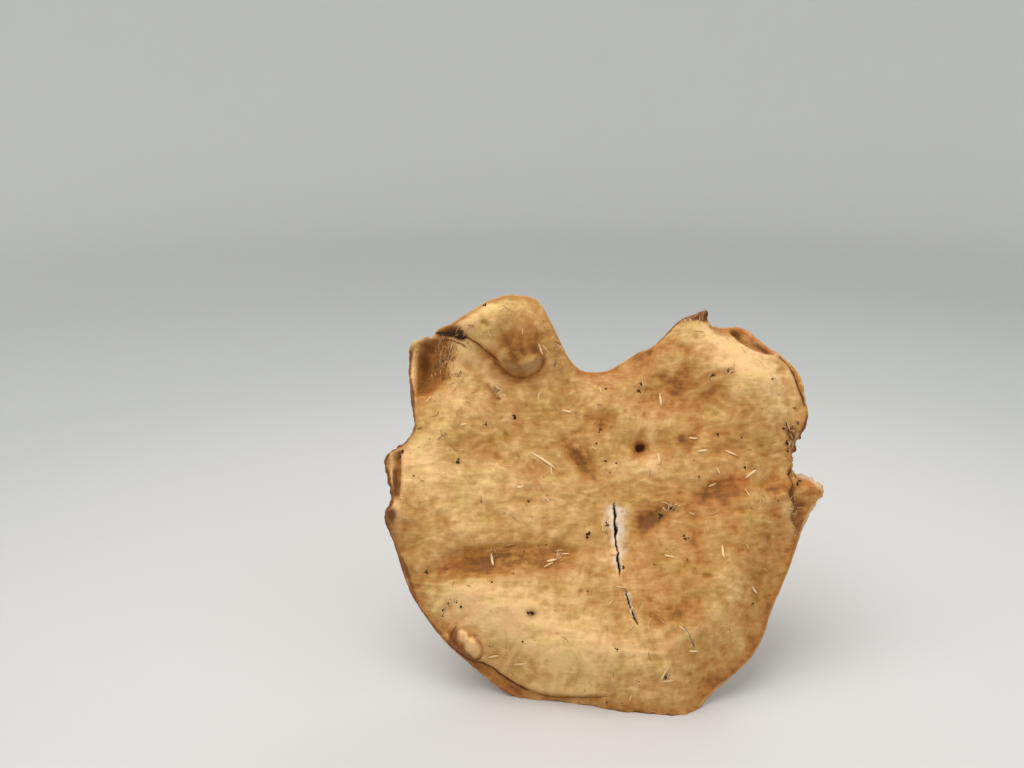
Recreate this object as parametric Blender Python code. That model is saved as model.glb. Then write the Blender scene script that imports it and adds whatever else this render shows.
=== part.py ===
"""Hedgehog mushroom, picked and lying on its side, in metres with +Z up.

The cap leans back and rests on its lower margin and on the cut end of its stem.
Its upper skin faces -Y and up, and its spines and stem point back and down.
The shapes are worked out in millimetres in the cap's own frame: u to the right,
v up along the leaning cap and w out of its upper skin. The origin is on the floor,
below the middle of the whole mushroom.
"""

import math

import bmesh
import bpy
import numpy as np
from mathutils.geometry import delaunay_2d_cdt

MM = 0.001
SEED = 11

# Pose of the cap on the floor
CAP_LEAN = math.radians(57.0)
CAP_CENTRE = (-2.27, -9.71, 54.6)
PRESS_DEPTH = 1.2
PRESS_REACH = 5.0

# Margin of the cap: angle in degrees, radius in mm, and how far it lies in front of the cap's plane in mm
MARGIN = [
    (2.8, 68.0, -7.5), (6.5, 64.8, -6.5), (7.8, 61.0, -6.0), (10.7, 59.7, -5.0),
    (13.9, 60.8, -4.5), (16.9, 63.6, -4.0), (20.9, 67.5, -3.0), (24.2, 69.2, -4.0),
    (30.0, 71.7, -5.0), (35.5, 73.0, -6.0), (44.0, 71.8, -5.5), (50.0, 71.0, -5.0),
    (53.5, 68.6, -5.0), (57.2, 65.3, -1.5), (59.7, 67.4, 2.0), (62.7, 63.4, 2.0),
    (65.2, 59.7, 1.0), (69.1, 50.5, 0.0), (74.7, 46.6, -2.0), (83.4, 40.7, -3.0),
    (92.0, 39.3, -3.0), (98.5, 40.4, -1.0), (102.5, 44.5, 1.5), (105.5, 54.0, 4.0),
    (107.3, 61.0, 5.0), (111.6, 63.5, 7.0), (117.0, 65.1, 8.0), (126.0, 65.1, 9.0),
    (134.0, 67.7, 8.0), (137.0, 67.6, 6.0), (141.0, 71.0, 4.0), (146.0, 68.4, 3.0),
    (152.8, 62.8, 2.0), (158.9, 58.8, 1.5), (163.5, 59.2, 1.0), (170.3, 64.1, 0.5),
    (175.0, 62.6, 0.0), (181.5, 60.9, 0.5), (185.2, 63.5, 1.0), (192.0, 61.9, -3.5),
    (206.5, 61.7, -7.0), (219.0, 60.6, -9.5), (233.0, 59.4, -11.0), (248.8, 60.2, -12.0),
    (258.0, 59.7, -12.0), (268.3, 60.9, -10.0), (277.4, 62.5, -8.0), (286.4, 65.8, -6.0),
    (293.0, 65.7, -7.0), (298.0, 64.0, -8.0), (311.3, 63.0, -8.5), (319.5, 61.9, -9.0),
    (327.0, 59.8, -9.0), (340.0, 59.5, -8.0), (350.8, 61.0, -8.0), (357.5, 64.1, -8.0),
]
SPLINE_STEPS = 12
MARGIN_POINTS = 150
MARGIN_ROUND = 0.8

# Upper skin: a low crown around a slightly sunken middle, and the reach of the bent margin
CROWN_HEIGHT = 7.0
MARGIN_REACH = 13.0

# Swellings and dents of the skin: middle u and v, half lengths along and across, turn, height
FORMS = [
    (-27.0, 49.5, 13.0, 9.5, 0.0, 8.5),
    (-49.0, 39.0, 9.0, 5.0, 75.0, -7.5),
    (-57.0, 28.0, 14.0, 2.6, 75.0, 3.0),
    (-60.5, 3.0, 11.0, 2.8, 95.0, 3.0),
    (-38.0, -20.0, 13.0, 5.0, 5.0, -3.2),
    (-12.0, -15.5, 17.0, 4.0, 3.0, -1.8),
    (-32.0, -31.0, 15.0, 7.0, -8.0, 2.8),
    (-48.0, 10.0, 10.0, 14.0, 0.0, 2.0),
    (-40.0, 26.0, 12.0, 8.0, 10.0, 1.8),
    (-4.5, 10.0, 7.5, 3.0, -55.0, -1.8),
    (13.7, -7.0, 5.5, 4.0, 35.0, -2.2),
    (12.4, 13.9, 3.0, 3.0, 0.0, -1.6),
    (25.0, 31.0, 12.0, 7.0, -20.0, -2.4),
    (47.0, 32.0, 12.0, 10.0, -40.0, 3.6),
    (41.0, 52.0, 9.0, 3.0, -38.0, -3.5),
    (37.0, 2.0, 12.0, 9.0, 30.0, -2.0),
    (28.0, -33.0, 14.0, 11.0, 40.0, 2.4),
    (47.0, -17.0, 8.0, 14.0, 20.0, -1.6),
    (2.0, -45.0, 20.0, 9.0, 0.0, 2.2),
    (-37.5, -42.5, 4.2, 3.0, -50.0, 2.2),
    (5.0, 40.0, 14.0, 6.0, 0.0, -1.5),
]

# Creases and cracks of the skin: a line of (u, v) points, half width and depth
CREASES = [
    ([(-43.0, 46.5), (-37.0, 41.0), (-29.5, 37.8), (-21.0, 37.5), (-15.5, 41.5)], 2.2, -4.5),
    ([(4.0, -1.7), (4.4, -9.0), (4.8, -16.3), (5.7, -24.9)], 1.3, -2.5),
    ([(6.5, -27.1), (7.6, -32.5), (9.6, -37.5)], 1.0, -1.6),
    ([(-41.0, -41.5), (-33.5, -47.5), (-25.0, -52.5), (-13.0, -55.5)], 1.6, -2.0),
]

# Flesh under the skin
RIM_THICKNESS = 2.4
FLESH_GROWTH = 11.0
FLESH_REACH = 25.0

# Place where the stem grows from the cap
STEM_U = -2.0
STEM_V = -12.0
NECK_RADIUS = 15.0
NECK_REACH = 24.0
NECK_LEVEL = -22.0
NECK_POINTS = 36

# Spines of the underside
SPINE_PITCH = 4.0
SPINE_LENGTH = 6.2
SPINE_BARE_RIM = 2.2
SPINE_FULL_AT = 15.0
SPINE_VARIATION = 0.2
SPINE_FLOOR_GAP = 0.5

# Meshing of the two sheets
SKIN_PITCH = 3.0
MARGIN_CLEARANCE = 1.5
GUIDE_PITCH = 2.4
GUIDE_SPREAD = 1.3
GUIDE_CLEARANCE = 1.4
JITTER = 0.12
SAME_POINT = 1e-4

# Stem: height from the neck in parts of its length, radius, and sideways bend
STEM_GAP = 0.3
STEM_LENGTH = 38.0
STEM_PROFILE = [
    (0.0, 14.7, 0.0, 0.0),
    (0.12, 13.7, 0.1, 0.1),
    (0.35, 12.9, 0.6, 0.0),
    (0.6, 13.1, 1.0, -0.8),
    (0.85, 13.6, 0.9, -2.0),
    (1.0, 13.0, 0.5, -2.8),
]
STEM_RINGS = 12
STEM_SIDES = 28
STEM_LOBES = [(2, 0.05, 0.6), (3, 0.035, 2.1), (5, 0.018, 0.4)]
CUT_SLANT = 0.12

# Colours of the materials
CAP_COLOUR = (0.60, 0.37, 0.16, 1.0)
STEM_COLOUR = (0.72, 0.55, 0.34, 1.0)
CAP_ROUGHNESS = 0.72
STEM_ROUGHNESS = 0.8


def smooth_step(value):
    """Rises from 0 to 1 with level ends."""
    x = np.clip(value, 0.0, 1.0)
    return x * x * (3.0 - 2.0 * x)


def margin_curve():
    """The cap's margin as a closed smooth curve of evenly spaced u, v, w points."""
    table = np.array(MARGIN)
    angle = np.radians(table[:, 0])
    corner = np.stack([table[:, 1] * np.cos(angle), table[:, 1] * np.sin(angle), table[:, 2]], axis=1)
    before = np.roll(corner, 1, axis=0)[:, None, :]
    after = np.roll(corner, -1, axis=0)[:, None, :]
    beyond = np.roll(corner, -2, axis=0)[:, None, :]
    here = corner[:, None, :]
    x = (np.arange(SPLINE_STEPS) / SPLINE_STEPS)[None, :, None]
    curve = here + 0.5 * (after - before) * x
    curve = curve + 0.5 * (2.0 * before - 5.0 * here + 4.0 * after - beyond) * x ** 2
    curve = curve + 0.5 * (3.0 * here - before - 3.0 * after + beyond) * x ** 3
    curve = curve.reshape(-1, 3)
    closed = np.vstack([curve, curve[:1]])
    steps = np.linalg.norm(np.diff(closed[:, :2], axis=0), axis=1)
    travelled = np.concatenate([[0.0], np.cumsum(steps)])
    stops = np.linspace(0.0, travelled[-1], MARGIN_POINTS, endpoint=False)
    return np.stack([np.interp(stops, travelled, closed[:, i]) for i in range(3)], axis=1)


def line_distance(points, start, end):
    """Distance of each point from each straight stretch, as points by stretches."""
    along = end - start
    length = np.maximum(np.sum(along ** 2, axis=1), 1e-9)
    offset = points[:, None, :] - start[None, :, :]
    share = np.clip(np.sum(offset * along[None, :, :], axis=2) / length, 0.0, 1.0)
    gap = offset - share[:, :, None] * along[None, :, :]
    return np.sqrt(np.sum(gap ** 2, axis=2))


def margin_effect(points, margin):
    """Distance of each point from the margin, and how far the margin near it is bent."""
    flat = margin[:, :2]
    gaps = line_distance(points, flat, np.roll(flat, -1, axis=0))
    weights = 1.0 / (gaps + 0.5) ** 4
    bend = weights @ (0.5 * (margin[:, 2] + np.roll(margin[:, 2], -1))) / weights.sum(axis=1)
    return gaps.min(axis=1), bend


def cap_radius_share(points, margin):
    """How far out each point lies, from 0 at the middle to 1 at the margin."""
    angles = np.arctan2(margin[:, 1], margin[:, 0])
    order = np.argsort(angles)
    radii = np.hypot(margin[order, 0], margin[order, 1])
    around = np.interp(np.arctan2(points[:, 1], points[:, 0]), angles[order], radii, period=2.0 * math.pi)
    return np.clip(np.hypot(points[:, 0], points[:, 1]) / around, 0.0, 1.0)


def swellings(points):
    """Height of the swellings and dents."""
    total = np.zeros(len(points))
    for u, v, along, across, turn, height in FORMS:
        c, s = math.cos(math.radians(turn)), math.sin(math.radians(turn))
        du, dv = points[:, 0] - u, points[:, 1] - v
        a = (du * c + dv * s) / along
        b = (dv * c - du * s) / across
        total += height * np.exp(-(a * a + b * b))
    return total


def creases(points):
    """Height of the creases and cracks."""
    total = np.zeros(len(points))
    for line, half_width, depth in CREASES:
        corners = np.array(line)
        gap = line_distance(points, corners[:-1], corners[1:]).min(axis=1)
        total += depth * np.exp(-(gap / half_width) ** 2)
    return total


def sheet_level(points, margin):
    """Level of the smooth sheet that the cap is formed from, and the distance from the margin."""
    share = cap_radius_share(points, margin)
    gap, bend = margin_effect(points, margin)
    crown = CROWN_HEIGHT * share ** 2 * (1.0 - share ** 4)
    return crown + bend * np.exp(-(gap / MARGIN_REACH) ** 2) + swellings(points), gap


def skin_level(points, margin):
    """Level w of the upper skin."""
    level, _ = sheet_level(points, margin)
    return level + creases(points)


def underside_level(points, margin):
    """Level w of the underside between its spines, with the neck that carries the stem."""
    level, gap = sheet_level(points, margin)
    flesh = RIM_THICKNESS + FLESH_GROWTH * (1.0 - np.exp(-gap / FLESH_REACH))
    natural = level - flesh
    from_stem = np.hypot(points[:, 0] - STEM_U, points[:, 1] - STEM_V)
    share = smooth_step((from_stem - NECK_RADIUS) / (NECK_REACH - NECK_RADIUS))
    return NECK_LEVEL + (natural - NECK_LEVEL) * share


def to_world(points):
    """Turns u, v, w in millimetres into metres on the floor, pressed flat where it touches."""
    u, v, w = np.asarray(points, dtype=float).T
    c, s = math.cos(CAP_LEAN), math.sin(CAP_LEAN)
    x = CAP_CENTRE[0] + u
    y = CAP_CENTRE[1] + v * c - w * s
    z = CAP_CENTRE[2] + v * s + w * c
    z = np.maximum(z - PRESS_DEPTH * (1.0 - smooth_step(z / PRESS_REACH)), 0.0)
    return np.stack([x, y, z], axis=1) * MM


def lattice(pitch, margin, rng):
    """Jittered triangular lattice over the cap, with a three-way colouring of its points."""
    reach = np.abs(margin[:, :2]).max() + pitch
    rows = int(math.ceil(reach / (pitch * math.sqrt(0.75))))
    columns = int(math.ceil(reach / pitch)) + rows
    points = []
    colours = []
    for row in range(-rows, rows + 1):
        for column in range(-columns, columns + 1):
            u = pitch * (column + 0.5 * row)
            v = pitch * math.sqrt(0.75) * row
            if abs(u) <= reach:
                points.append((u, v))
                colours.append((column - row) % 3)
    points = np.array(points)
    points += rng.uniform(-JITTER * pitch, JITTER * pitch, points.shape)
    return points, np.array(colours)


def inside(points, outline):
    """True for the points inside a closed outline."""
    result = np.zeros(len(points), dtype=bool)
    for (u0, v0), (u1, v1) in zip(outline, np.roll(outline, -1, axis=0)):
        crosses = (v0 > points[:, 1]) != (v1 > points[:, 1])
        level = u0 + (u1 - u0) * (points[:, 1] - v0) / np.where(v1 == v0, 1e-9, v1 - v0)
        result ^= crosses & (points[:, 0] < level)
    return result


def triangulate(outline, hole_ring, loose):
    """Triangles over the outline, keeping a ring of points as edges; outline points come first."""
    flat = np.vstack([outline, hole_ring, loose])
    ring = [len(outline) + i for i in range(len(hole_ring))]
    edges = list(zip(ring, ring[1:] + ring[:1]))
    result = delaunay_2d_cdt([tuple(p) for p in flat], edges, [list(range(len(outline)))], 1, SAME_POINT)
    source = [origin[0] for origin in result[3]]
    return flat, [[source[i] for i in face] for face in result[2]]


def shared_outline(margin):
    """The outline drawn in a little from the margin, where both sheets end."""
    flat = margin[:, :2]
    along = np.roll(flat, -1, axis=0) - np.roll(flat, 1, axis=0)
    outward = np.stack([along[:, 1], -along[:, 0]], axis=1)
    outward /= np.linalg.norm(outward, axis=1)[:, None]
    return flat - MARGIN_ROUND * outward


def crease_guides():
    """Points along the middle and both sides of each crease, so that the skin folds cleanly there."""
    rows = []
    for line, half_width, _ in CREASES:
        corners = np.array(line)
        steps = np.linalg.norm(np.diff(corners, axis=0), axis=1)
        travelled = np.concatenate([[0.0], np.cumsum(steps)])
        stops = np.linspace(0.0, travelled[-1], 1 + math.ceil(travelled[-1] / GUIDE_PITCH))
        middle = np.stack([np.interp(stops, travelled, corners[:, i]) for i in range(2)], axis=1)
        along = np.gradient(middle, axis=0)
        side = np.stack([-along[:, 1], along[:, 0]], axis=1) / np.linalg.norm(along, axis=1)[:, None]
        rows += [middle, middle + GUIDE_SPREAD * half_width * side, middle - GUIDE_SPREAD * half_width * side]
    return np.vstack(rows)


def skin_sheet(margin, outline, rng):
    """Points and triangles of the upper skin."""
    loose, _ = lattice(SKIN_PITCH, margin, rng)
    guides = crease_guides()
    spacing = np.linalg.norm(loose[:, None, :] - guides[None, :, :], axis=2).min(axis=1)
    loose = np.vstack([loose[spacing > GUIDE_CLEARANCE], guides])
    gap, _ = margin_effect(loose, margin)
    loose = loose[inside(loose, outline) & (gap > MARGIN_ROUND + MARGIN_CLEARANCE)]
    flat, faces = triangulate(outline, np.empty((0, 2)), loose)
    return np.column_stack([flat, skin_level(flat, margin)]), faces


def spine_sheet(margin, outline, rng):
    """Points and triangles of the underside, with a spine on every third lattice point."""
    loose, colours = lattice(SPINE_PITCH / math.sqrt(3.0), margin, rng)
    gap, _ = margin_effect(loose, margin)
    from_stem = np.hypot(loose[:, 0] - STEM_U, loose[:, 1] - STEM_V)
    kept = inside(loose, outline) & (gap > MARGIN_ROUND + MARGIN_CLEARANCE)
    kept &= from_stem > NECK_RADIUS + MARGIN_CLEARANCE
    loose, tips = loose[kept], colours[kept] == 0
    gap, from_stem = gap[kept], from_stem[kept]
    turn = np.linspace(0.0, 2.0 * math.pi, NECK_POINTS, endpoint=False)
    ring = np.column_stack([STEM_U + NECK_RADIUS * np.cos(turn), STEM_V + NECK_RADIUS * np.sin(turn)])
    flat, faces = triangulate(outline, ring, loose)
    level = underside_level(flat, margin)
    length = SPINE_LENGTH * smooth_step((gap - SPINE_BARE_RIM) / (SPINE_FULL_AT - SPINE_BARE_RIM))
    length *= 0.3 + 0.7 * smooth_step((from_stem - NECK_RADIUS) / (NECK_REACH - NECK_RADIUS))
    length *= 1.0 + rng.uniform(-SPINE_VARIATION, SPINE_VARIATION, len(loose))
    first = len(outline) + NECK_POINTS
    height = CAP_CENTRE[2] + loose[:, 1] * math.sin(CAP_LEAN) + level[first:] * math.cos(CAP_LEAN)
    room = (height - PRESS_DEPTH - SPINE_FLOOR_GAP) / math.cos(CAP_LEAN)
    level[first:] -= np.where(tips, np.clip(np.minimum(length, room), 0.0, None), 0.0)
    return np.column_stack([flat, level]), faces


def cap_mesh():
    """The cap as one closed body: skin, rounded margin, and underside with spines."""
    rng = np.random.default_rng(SEED)
    margin = margin_curve()
    outline = shared_outline(margin)
    skin, skin_faces = skin_sheet(margin, outline, rng)
    under, under_faces = spine_sheet(margin, outline, rng)
    count = len(outline)
    edge_level = 0.5 * (skin[:count, 2] + under[:count, 2])
    edge = np.column_stack([margin[:, :2], edge_level])
    points = np.vstack([skin, under, edge])
    faces = list(skin_faces)
    faces += [[len(skin) + i for i in reversed(face)] for face in under_faces]
    edge_start = len(skin) + len(under)
    for i in range(count):
        j = (i + 1) % count
        faces.append([j, i, edge_start + i, edge_start + j])
        faces.append([edge_start + j, edge_start + i, len(skin) + i, len(skin) + j])
    return to_world(points), faces


def stem_mesh():
    """The stem as one closed body, from just below the neck to its slanting cut end."""
    table = np.array(STEM_PROFILE)
    share = np.linspace(0.0, 1.0, STEM_RINGS)
    radius, bend_u, bend_v = (np.interp(share, table[:, 0], table[:, i]) for i in (1, 2, 3))
    turn = np.linspace(0.0, 2.0 * math.pi, STEM_SIDES, endpoint=False)
    points = []
    for k in range(STEM_RINGS):
        ripple = sum(size * np.cos(lobe * turn + shift) for lobe, size, shift in STEM_LOBES)
        r = radius[k] * (1.0 + ripple * smooth_step(share[k] * 4.0))
        u = STEM_U + bend_u[k] + r * np.cos(turn)
        v = STEM_V + bend_v[k] + r * np.sin(turn)
        slant = CUT_SLANT * (v - STEM_V) * share[k] ** 4
        w = NECK_LEVEL - STEM_GAP - STEM_LENGTH * share[k] + slant
        points.extend(np.column_stack([u, v, w]))
    points.append([STEM_U, STEM_V, NECK_LEVEL - STEM_GAP])
    points.append(np.mean(points[-1 - STEM_SIDES:-1], axis=0))
    faces = []
    for k in range(STEM_RINGS - 1):
        for i in range(STEM_SIDES):
            j = (i + 1) % STEM_SIDES
            low = k * STEM_SIDES
            faces.append([low + j, low + i, low + STEM_SIDES + i, low + STEM_SIDES + j])
    top, end = len(points) - 2, len(points) - 1
    last = (STEM_RINGS - 1) * STEM_SIDES
    for i in range(STEM_SIDES):
        j = (i + 1) % STEM_SIDES
        faces.append([top, i, j])
        faces.append([end, last + j, last + i])
    return to_world(points), faces


def make_material(name, colour, roughness):
    """A plain material of one colour."""
    material = bpy.data.materials.new(name)
    material.use_nodes = True
    shader = material.node_tree.nodes["Principled BSDF"]
    shader.inputs["Base Color"].default_value = colour
    shader.inputs["Roughness"].default_value = roughness
    shader.inputs["Metallic"].default_value = 0.0
    return material


def add_object(name, points, faces, material, parent):
    """Puts one closed body of the mushroom in the scene, shaded smooth."""
    mesh = bpy.data.meshes.new(name)
    mesh.from_pydata([tuple(p) for p in points], [], faces)
    work = bmesh.new()
    work.from_mesh(mesh)
    bmesh.ops.triangulate(work, faces=work.faces)
    bmesh.ops.recalc_face_normals(work, faces=work.faces)
    work.to_mesh(mesh)
    work.free()
    mesh.shade_smooth()
    mesh.set_sharp_from_angle(angle=math.radians(50.0))
    mesh.materials.append(material)
    thing = bpy.data.objects.new(name, mesh)
    bpy.context.scene.collection.objects.link(thing)
    thing.parent = parent
    return thing


def main():
    for thing in list(bpy.data.objects):
        bpy.data.objects.remove(thing, do_unlink=True)
    mushroom = bpy.data.objects.new("mushroom", None)
    bpy.context.scene.collection.objects.link(mushroom)
    skin = make_material("cap_skin", CAP_COLOUR, CAP_ROUGHNESS)
    flesh = make_material("stem_flesh", STEM_COLOUR, STEM_ROUGHNESS)
    add_object("cap", *cap_mesh(), skin, mushroom)
    add_object("stem", *stem_mesh(), flesh, mushroom)


main()
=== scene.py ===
"""The looks of the hedgehog mushroom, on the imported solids, in metres with +Z up.

Shapes are worked out in millimetres in the cap's own frame: u to the right,
v up along the leaning cap and w out of its upper skin.
"""
import math

import bmesh
import bpy
import numpy as np
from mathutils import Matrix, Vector, noise


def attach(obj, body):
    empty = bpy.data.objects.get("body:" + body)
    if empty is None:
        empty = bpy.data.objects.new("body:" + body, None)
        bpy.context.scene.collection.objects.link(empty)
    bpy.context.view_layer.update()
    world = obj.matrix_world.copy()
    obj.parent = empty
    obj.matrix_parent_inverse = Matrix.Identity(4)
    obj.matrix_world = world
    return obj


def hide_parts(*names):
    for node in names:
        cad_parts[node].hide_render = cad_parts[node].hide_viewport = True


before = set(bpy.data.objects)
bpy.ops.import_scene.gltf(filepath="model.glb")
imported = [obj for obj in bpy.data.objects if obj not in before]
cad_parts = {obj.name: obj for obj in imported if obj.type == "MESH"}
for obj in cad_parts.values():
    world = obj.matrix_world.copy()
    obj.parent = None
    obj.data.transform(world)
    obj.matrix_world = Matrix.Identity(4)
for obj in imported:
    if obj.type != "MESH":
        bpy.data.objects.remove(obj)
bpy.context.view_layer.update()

MM = 0.001
FULL_TURN = 2.0 * math.pi

# Pose of the cap on the floor, as in the solids
CAP_LEAN = math.radians(57.0)
CAP_CENTRE = (-2.27, -9.71, 54.6)
PRESS_DEPTH = 1.2
PRESS_REACH = 5.0

# Margin of the cap: angle in degrees, radius in mm, and how far it lies in front of the cap's plane in mm
MARGIN = [
    (2.8, 68, -7.5), (6.5, 64.8, -6.5), (7.8, 61, -6), (10.7, 59.7, -5), (13.9, 60.8, -4.5),
    (16.9, 63.6, -4), (20.9, 67.5, -3), (24.2, 69.2, -4), (30, 71.7, -5), (35.5, 73, -6),
    (44, 71.8, -5.5), (50, 71, -5), (53.5, 68.6, -5), (57.2, 65.3, -1.5), (59.7, 67.4, 2),
    (62.7, 63.4, 2), (65.2, 59.7, 1), (69.1, 50.5, 0), (74.7, 46.6, -2), (83.4, 40.7, -3), (92, 39.3, -3),
    (98.5, 40.4, -1), (102.5, 44.5, 1.5), (105.5, 54, 4), (107.3, 61, 5), (111.6, 63.5, 7),
    (117, 65.1, 8), (126, 65.1, 9), (134, 67.7, 8), (137, 67.6, 6), (141, 71, 4), (146, 68.4, 3),
    (152.8, 62.8, 2), (158.9, 58.8, 1.5), (163.5, 59.2, 1), (170.3, 64.1, 0.5), (175, 62.6, 0),
    (181.5, 60.9, 0.5), (185.2, 63.5, 1), (192, 61.9, -3.5), (206.5, 61.7, -7), (219, 60.6, -9.5),
    (233, 59.4, -11), (248.8, 60.2, -12), (258, 59.7, -12), (268.3, 60.9, -10), (277.4, 62.5, -8),
    (286.4, 65.8, -6), (293, 65.7, -7), (298, 64, -8), (311.3, 63, -8.5), (319.5, 61.9, -9),
    (327, 59.8, -9), (340, 59.5, -8), (350.8, 61, -8), (357.5, 64.1, -8),
]
SPLINE_STEPS = 12
MARGIN_POINTS = 150
MARGIN_ROUND = 0.8

# Upper skin, as in the solids, with its swellings and dents:
# middle u and v, half lengths along and across, turn in degrees, height
CROWN_HEIGHT = 7.0
MARGIN_REACH = 13.0
FORMS = [
    (-27, 49.5, 13, 9.5, 0, 8.5), (-49, 39, 9, 5, 75, -7.5), (-57, 28, 14, 2.6, 75, 3),
    (-60.5, 3, 11, 2.8, 95, 3), (-38, -20, 13, 5, 5, -3.2), (-12, -15.5, 17, 4, 3, -1.8),
    (-32, -31, 15, 7, -8, 2.8), (-48, 10, 10, 14, 0, 2), (-40, 26, 12, 8, 10, 1.8),
    (-4.5, 10, 7.5, 3, -55, -1.8), (13.7, -7, 5.5, 4, 35, -2.2), (12.4, 13.9, 3, 3, 0, -1.6),
    (25, 31, 12, 7, -20, -2.4), (47, 32, 12, 10, -40, 3.6), (41, 52, 9, 3, -38, -3.5),
    (37, 2, 12, 9, 30, -2), (28, -33, 14, 11, 40, 2.4), (47, -17, 8, 14, 20, -1.6),
    (2, -45, 20, 9, 0, 2.2), (-37.5, -42.5, 4.2, 3, -50, 2.2), (5, 40, 14, 6, 0, -1.5),
]

# Flesh, neck and stem, as in the solids. The stem's profile: share of the length, radius, bend along u and v.
# Its lobes: how many, share of the radius, shift
RIM_THICKNESS = 2.4
FLESH_GROWTH = 11.0
FLESH_REACH = 25.0
STEM_U = -2.0
STEM_V = -12.0
NECK_RADIUS = 15.0
NECK_REACH = 24.0
NECK_LEVEL = -22.0
STEM_LENGTH = 38.0
STEM_PROFILE = [
    (0, 14.7, 0, 0), (0.12, 13.7, 0.1, 0.1), (0.35, 12.9, 0.6, 0), (0.6, 13.1, 1, -0.8),
    (0.85, 13.6, 0.9, -2), (1, 13, 0.5, -2.8),
]
STEM_LOBES = [(2, 0.05, 0.6), (3, 0.035, 2.1), (5, 0.018, 0.4)]
CUT_SLANT = 0.12

# Folds of the skin: a line of (u, v) points with the raised side on its left, rise and its reach,
# drop and its reach, width of the wall between, and how far the raised side hangs over the line
FOLDS = [
    ([(-44, 47.2), (-40.4, 46.4), (-36.6, 44.2), (-33.1, 41.8), (-29.8, 39.4), (-28.4, 37.6)], 1.7, 6,
     1.1, 2.4, 0.85, 0.35),
    ([(-31.5, 40.4), (-28.6, 37.8), (-25.7, 36), (-22.6, 35.6), (-20, 36.2), (-17.4, 38.2),
     (-15.6, 41.5)], 3.4, 5, 1, 3.2, 1.1, 0.7),
    ([(-50.5, 49.6), (-46, 48.9), (-43.4, 48.2), (-41.2, 47), (-38.6, 46.2)], 1, 2.6, 3.2, 1.1, 0.7, 0.6),
    ([(-48.6, 46.9), (-45.6, 46.5), (-42.9, 45.6), (-40.6, 44.2), (-38.4, 42.4)], 0.55, 0.9, 0.6, 0.8,
     0.45, 0.2),
    ([(-35.4, 48.4), (-34.1, 48.9), (-33, 48.1), (-32.4, 46.9)], 0.5, 1, 0.9, 0.8, 0.5, 0.2),
    ([(-47.6, -38.4), (-45, -40.9), (-41.5, -43.6), (-37, -46.2), (-34.5, -46.6), (-31.3, -48.1),
     (-28.9, -49.9), (-26.1, -51.6), (-22.6, -53.4), (-18, -54.8), (-11.7, -55.6), (-5.1, -55.9),
     (4, -56.2)], 0.9, 4, 1.3, 1.1, 0.5, 0.7),
    ([(62.6, 27), (62.2, 30.6), (61, 35.2), (60.2, 38.6), (58.4, 42.4), (55.6, 45.6)], 0.2, 3, 1, 0.8,
     0.5, 0),
    ([(57, 46), (59.6, 43), (61.4, 39.2), (62.2, 35.4), (63.4, 30.8), (63.8, 27)], 2.7, 3.4, 0.7, 0.8,
     0.5, 0),
    ([(55.8, 45.6), (52.3, 44.9), (48.4, 45.6), (45.2, 47.8), (43.2, 50.8), (42, 54.2)], 1.2, 4, 3.8, 2.6,
     0.6, 1.2),
    ([(-53.7, 29), (-53.8, 33), (-53.8, 37), (-53.8, 42), (-53.5, 47.6)], 2.4, 1.8, 2.2, 4.2, 0.7, 0),
    ([(-58.6, 13.8), (-58.3, 8), (-58.3, 2.3), (-58.8, -2.4)], 0.7, 3, 2.2, 1.8, 0.5, 0.6),
    ([(-61, -1.5), (-61.6, 3), (-62, 8), (-61.8, 12)], 1, 1, 0.8, 1.2, 0.5, 0),
    ([(60.2, -11), (58.9, -8), (57, -5.2), (57.8, -1.8), (56.2, 1.2), (57.6, 4.4), (56.5, 7.4),
     (58.4, 10), (59.8, 12.2)], 0.8, 2.6, 2.7, 6, 0.8, 0.45),
    ([(22.5, 54), (27.1, 55.8), (31, 55.6), (36, 57.6)], 1.5, 1.6, 1.8, 2.6, 0.7, 0.5),
    ([(-48.5, -18), (-44, -16.6), (-39.6, -15.7), (-34, -15), (-28, -14.5), (-20, -14.3), (-12, -14.6),
     (-5, -15.6)], 0.4, 5, 0.75, 5, 1.5, 0),
    ([(-33.2, 33.4), (-32, 31.6), (-30.6, 29.8), (-29, 28.2)], 0.5, 1.2, 1.1, 1.4, 0.35, 0.3),
]

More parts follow.
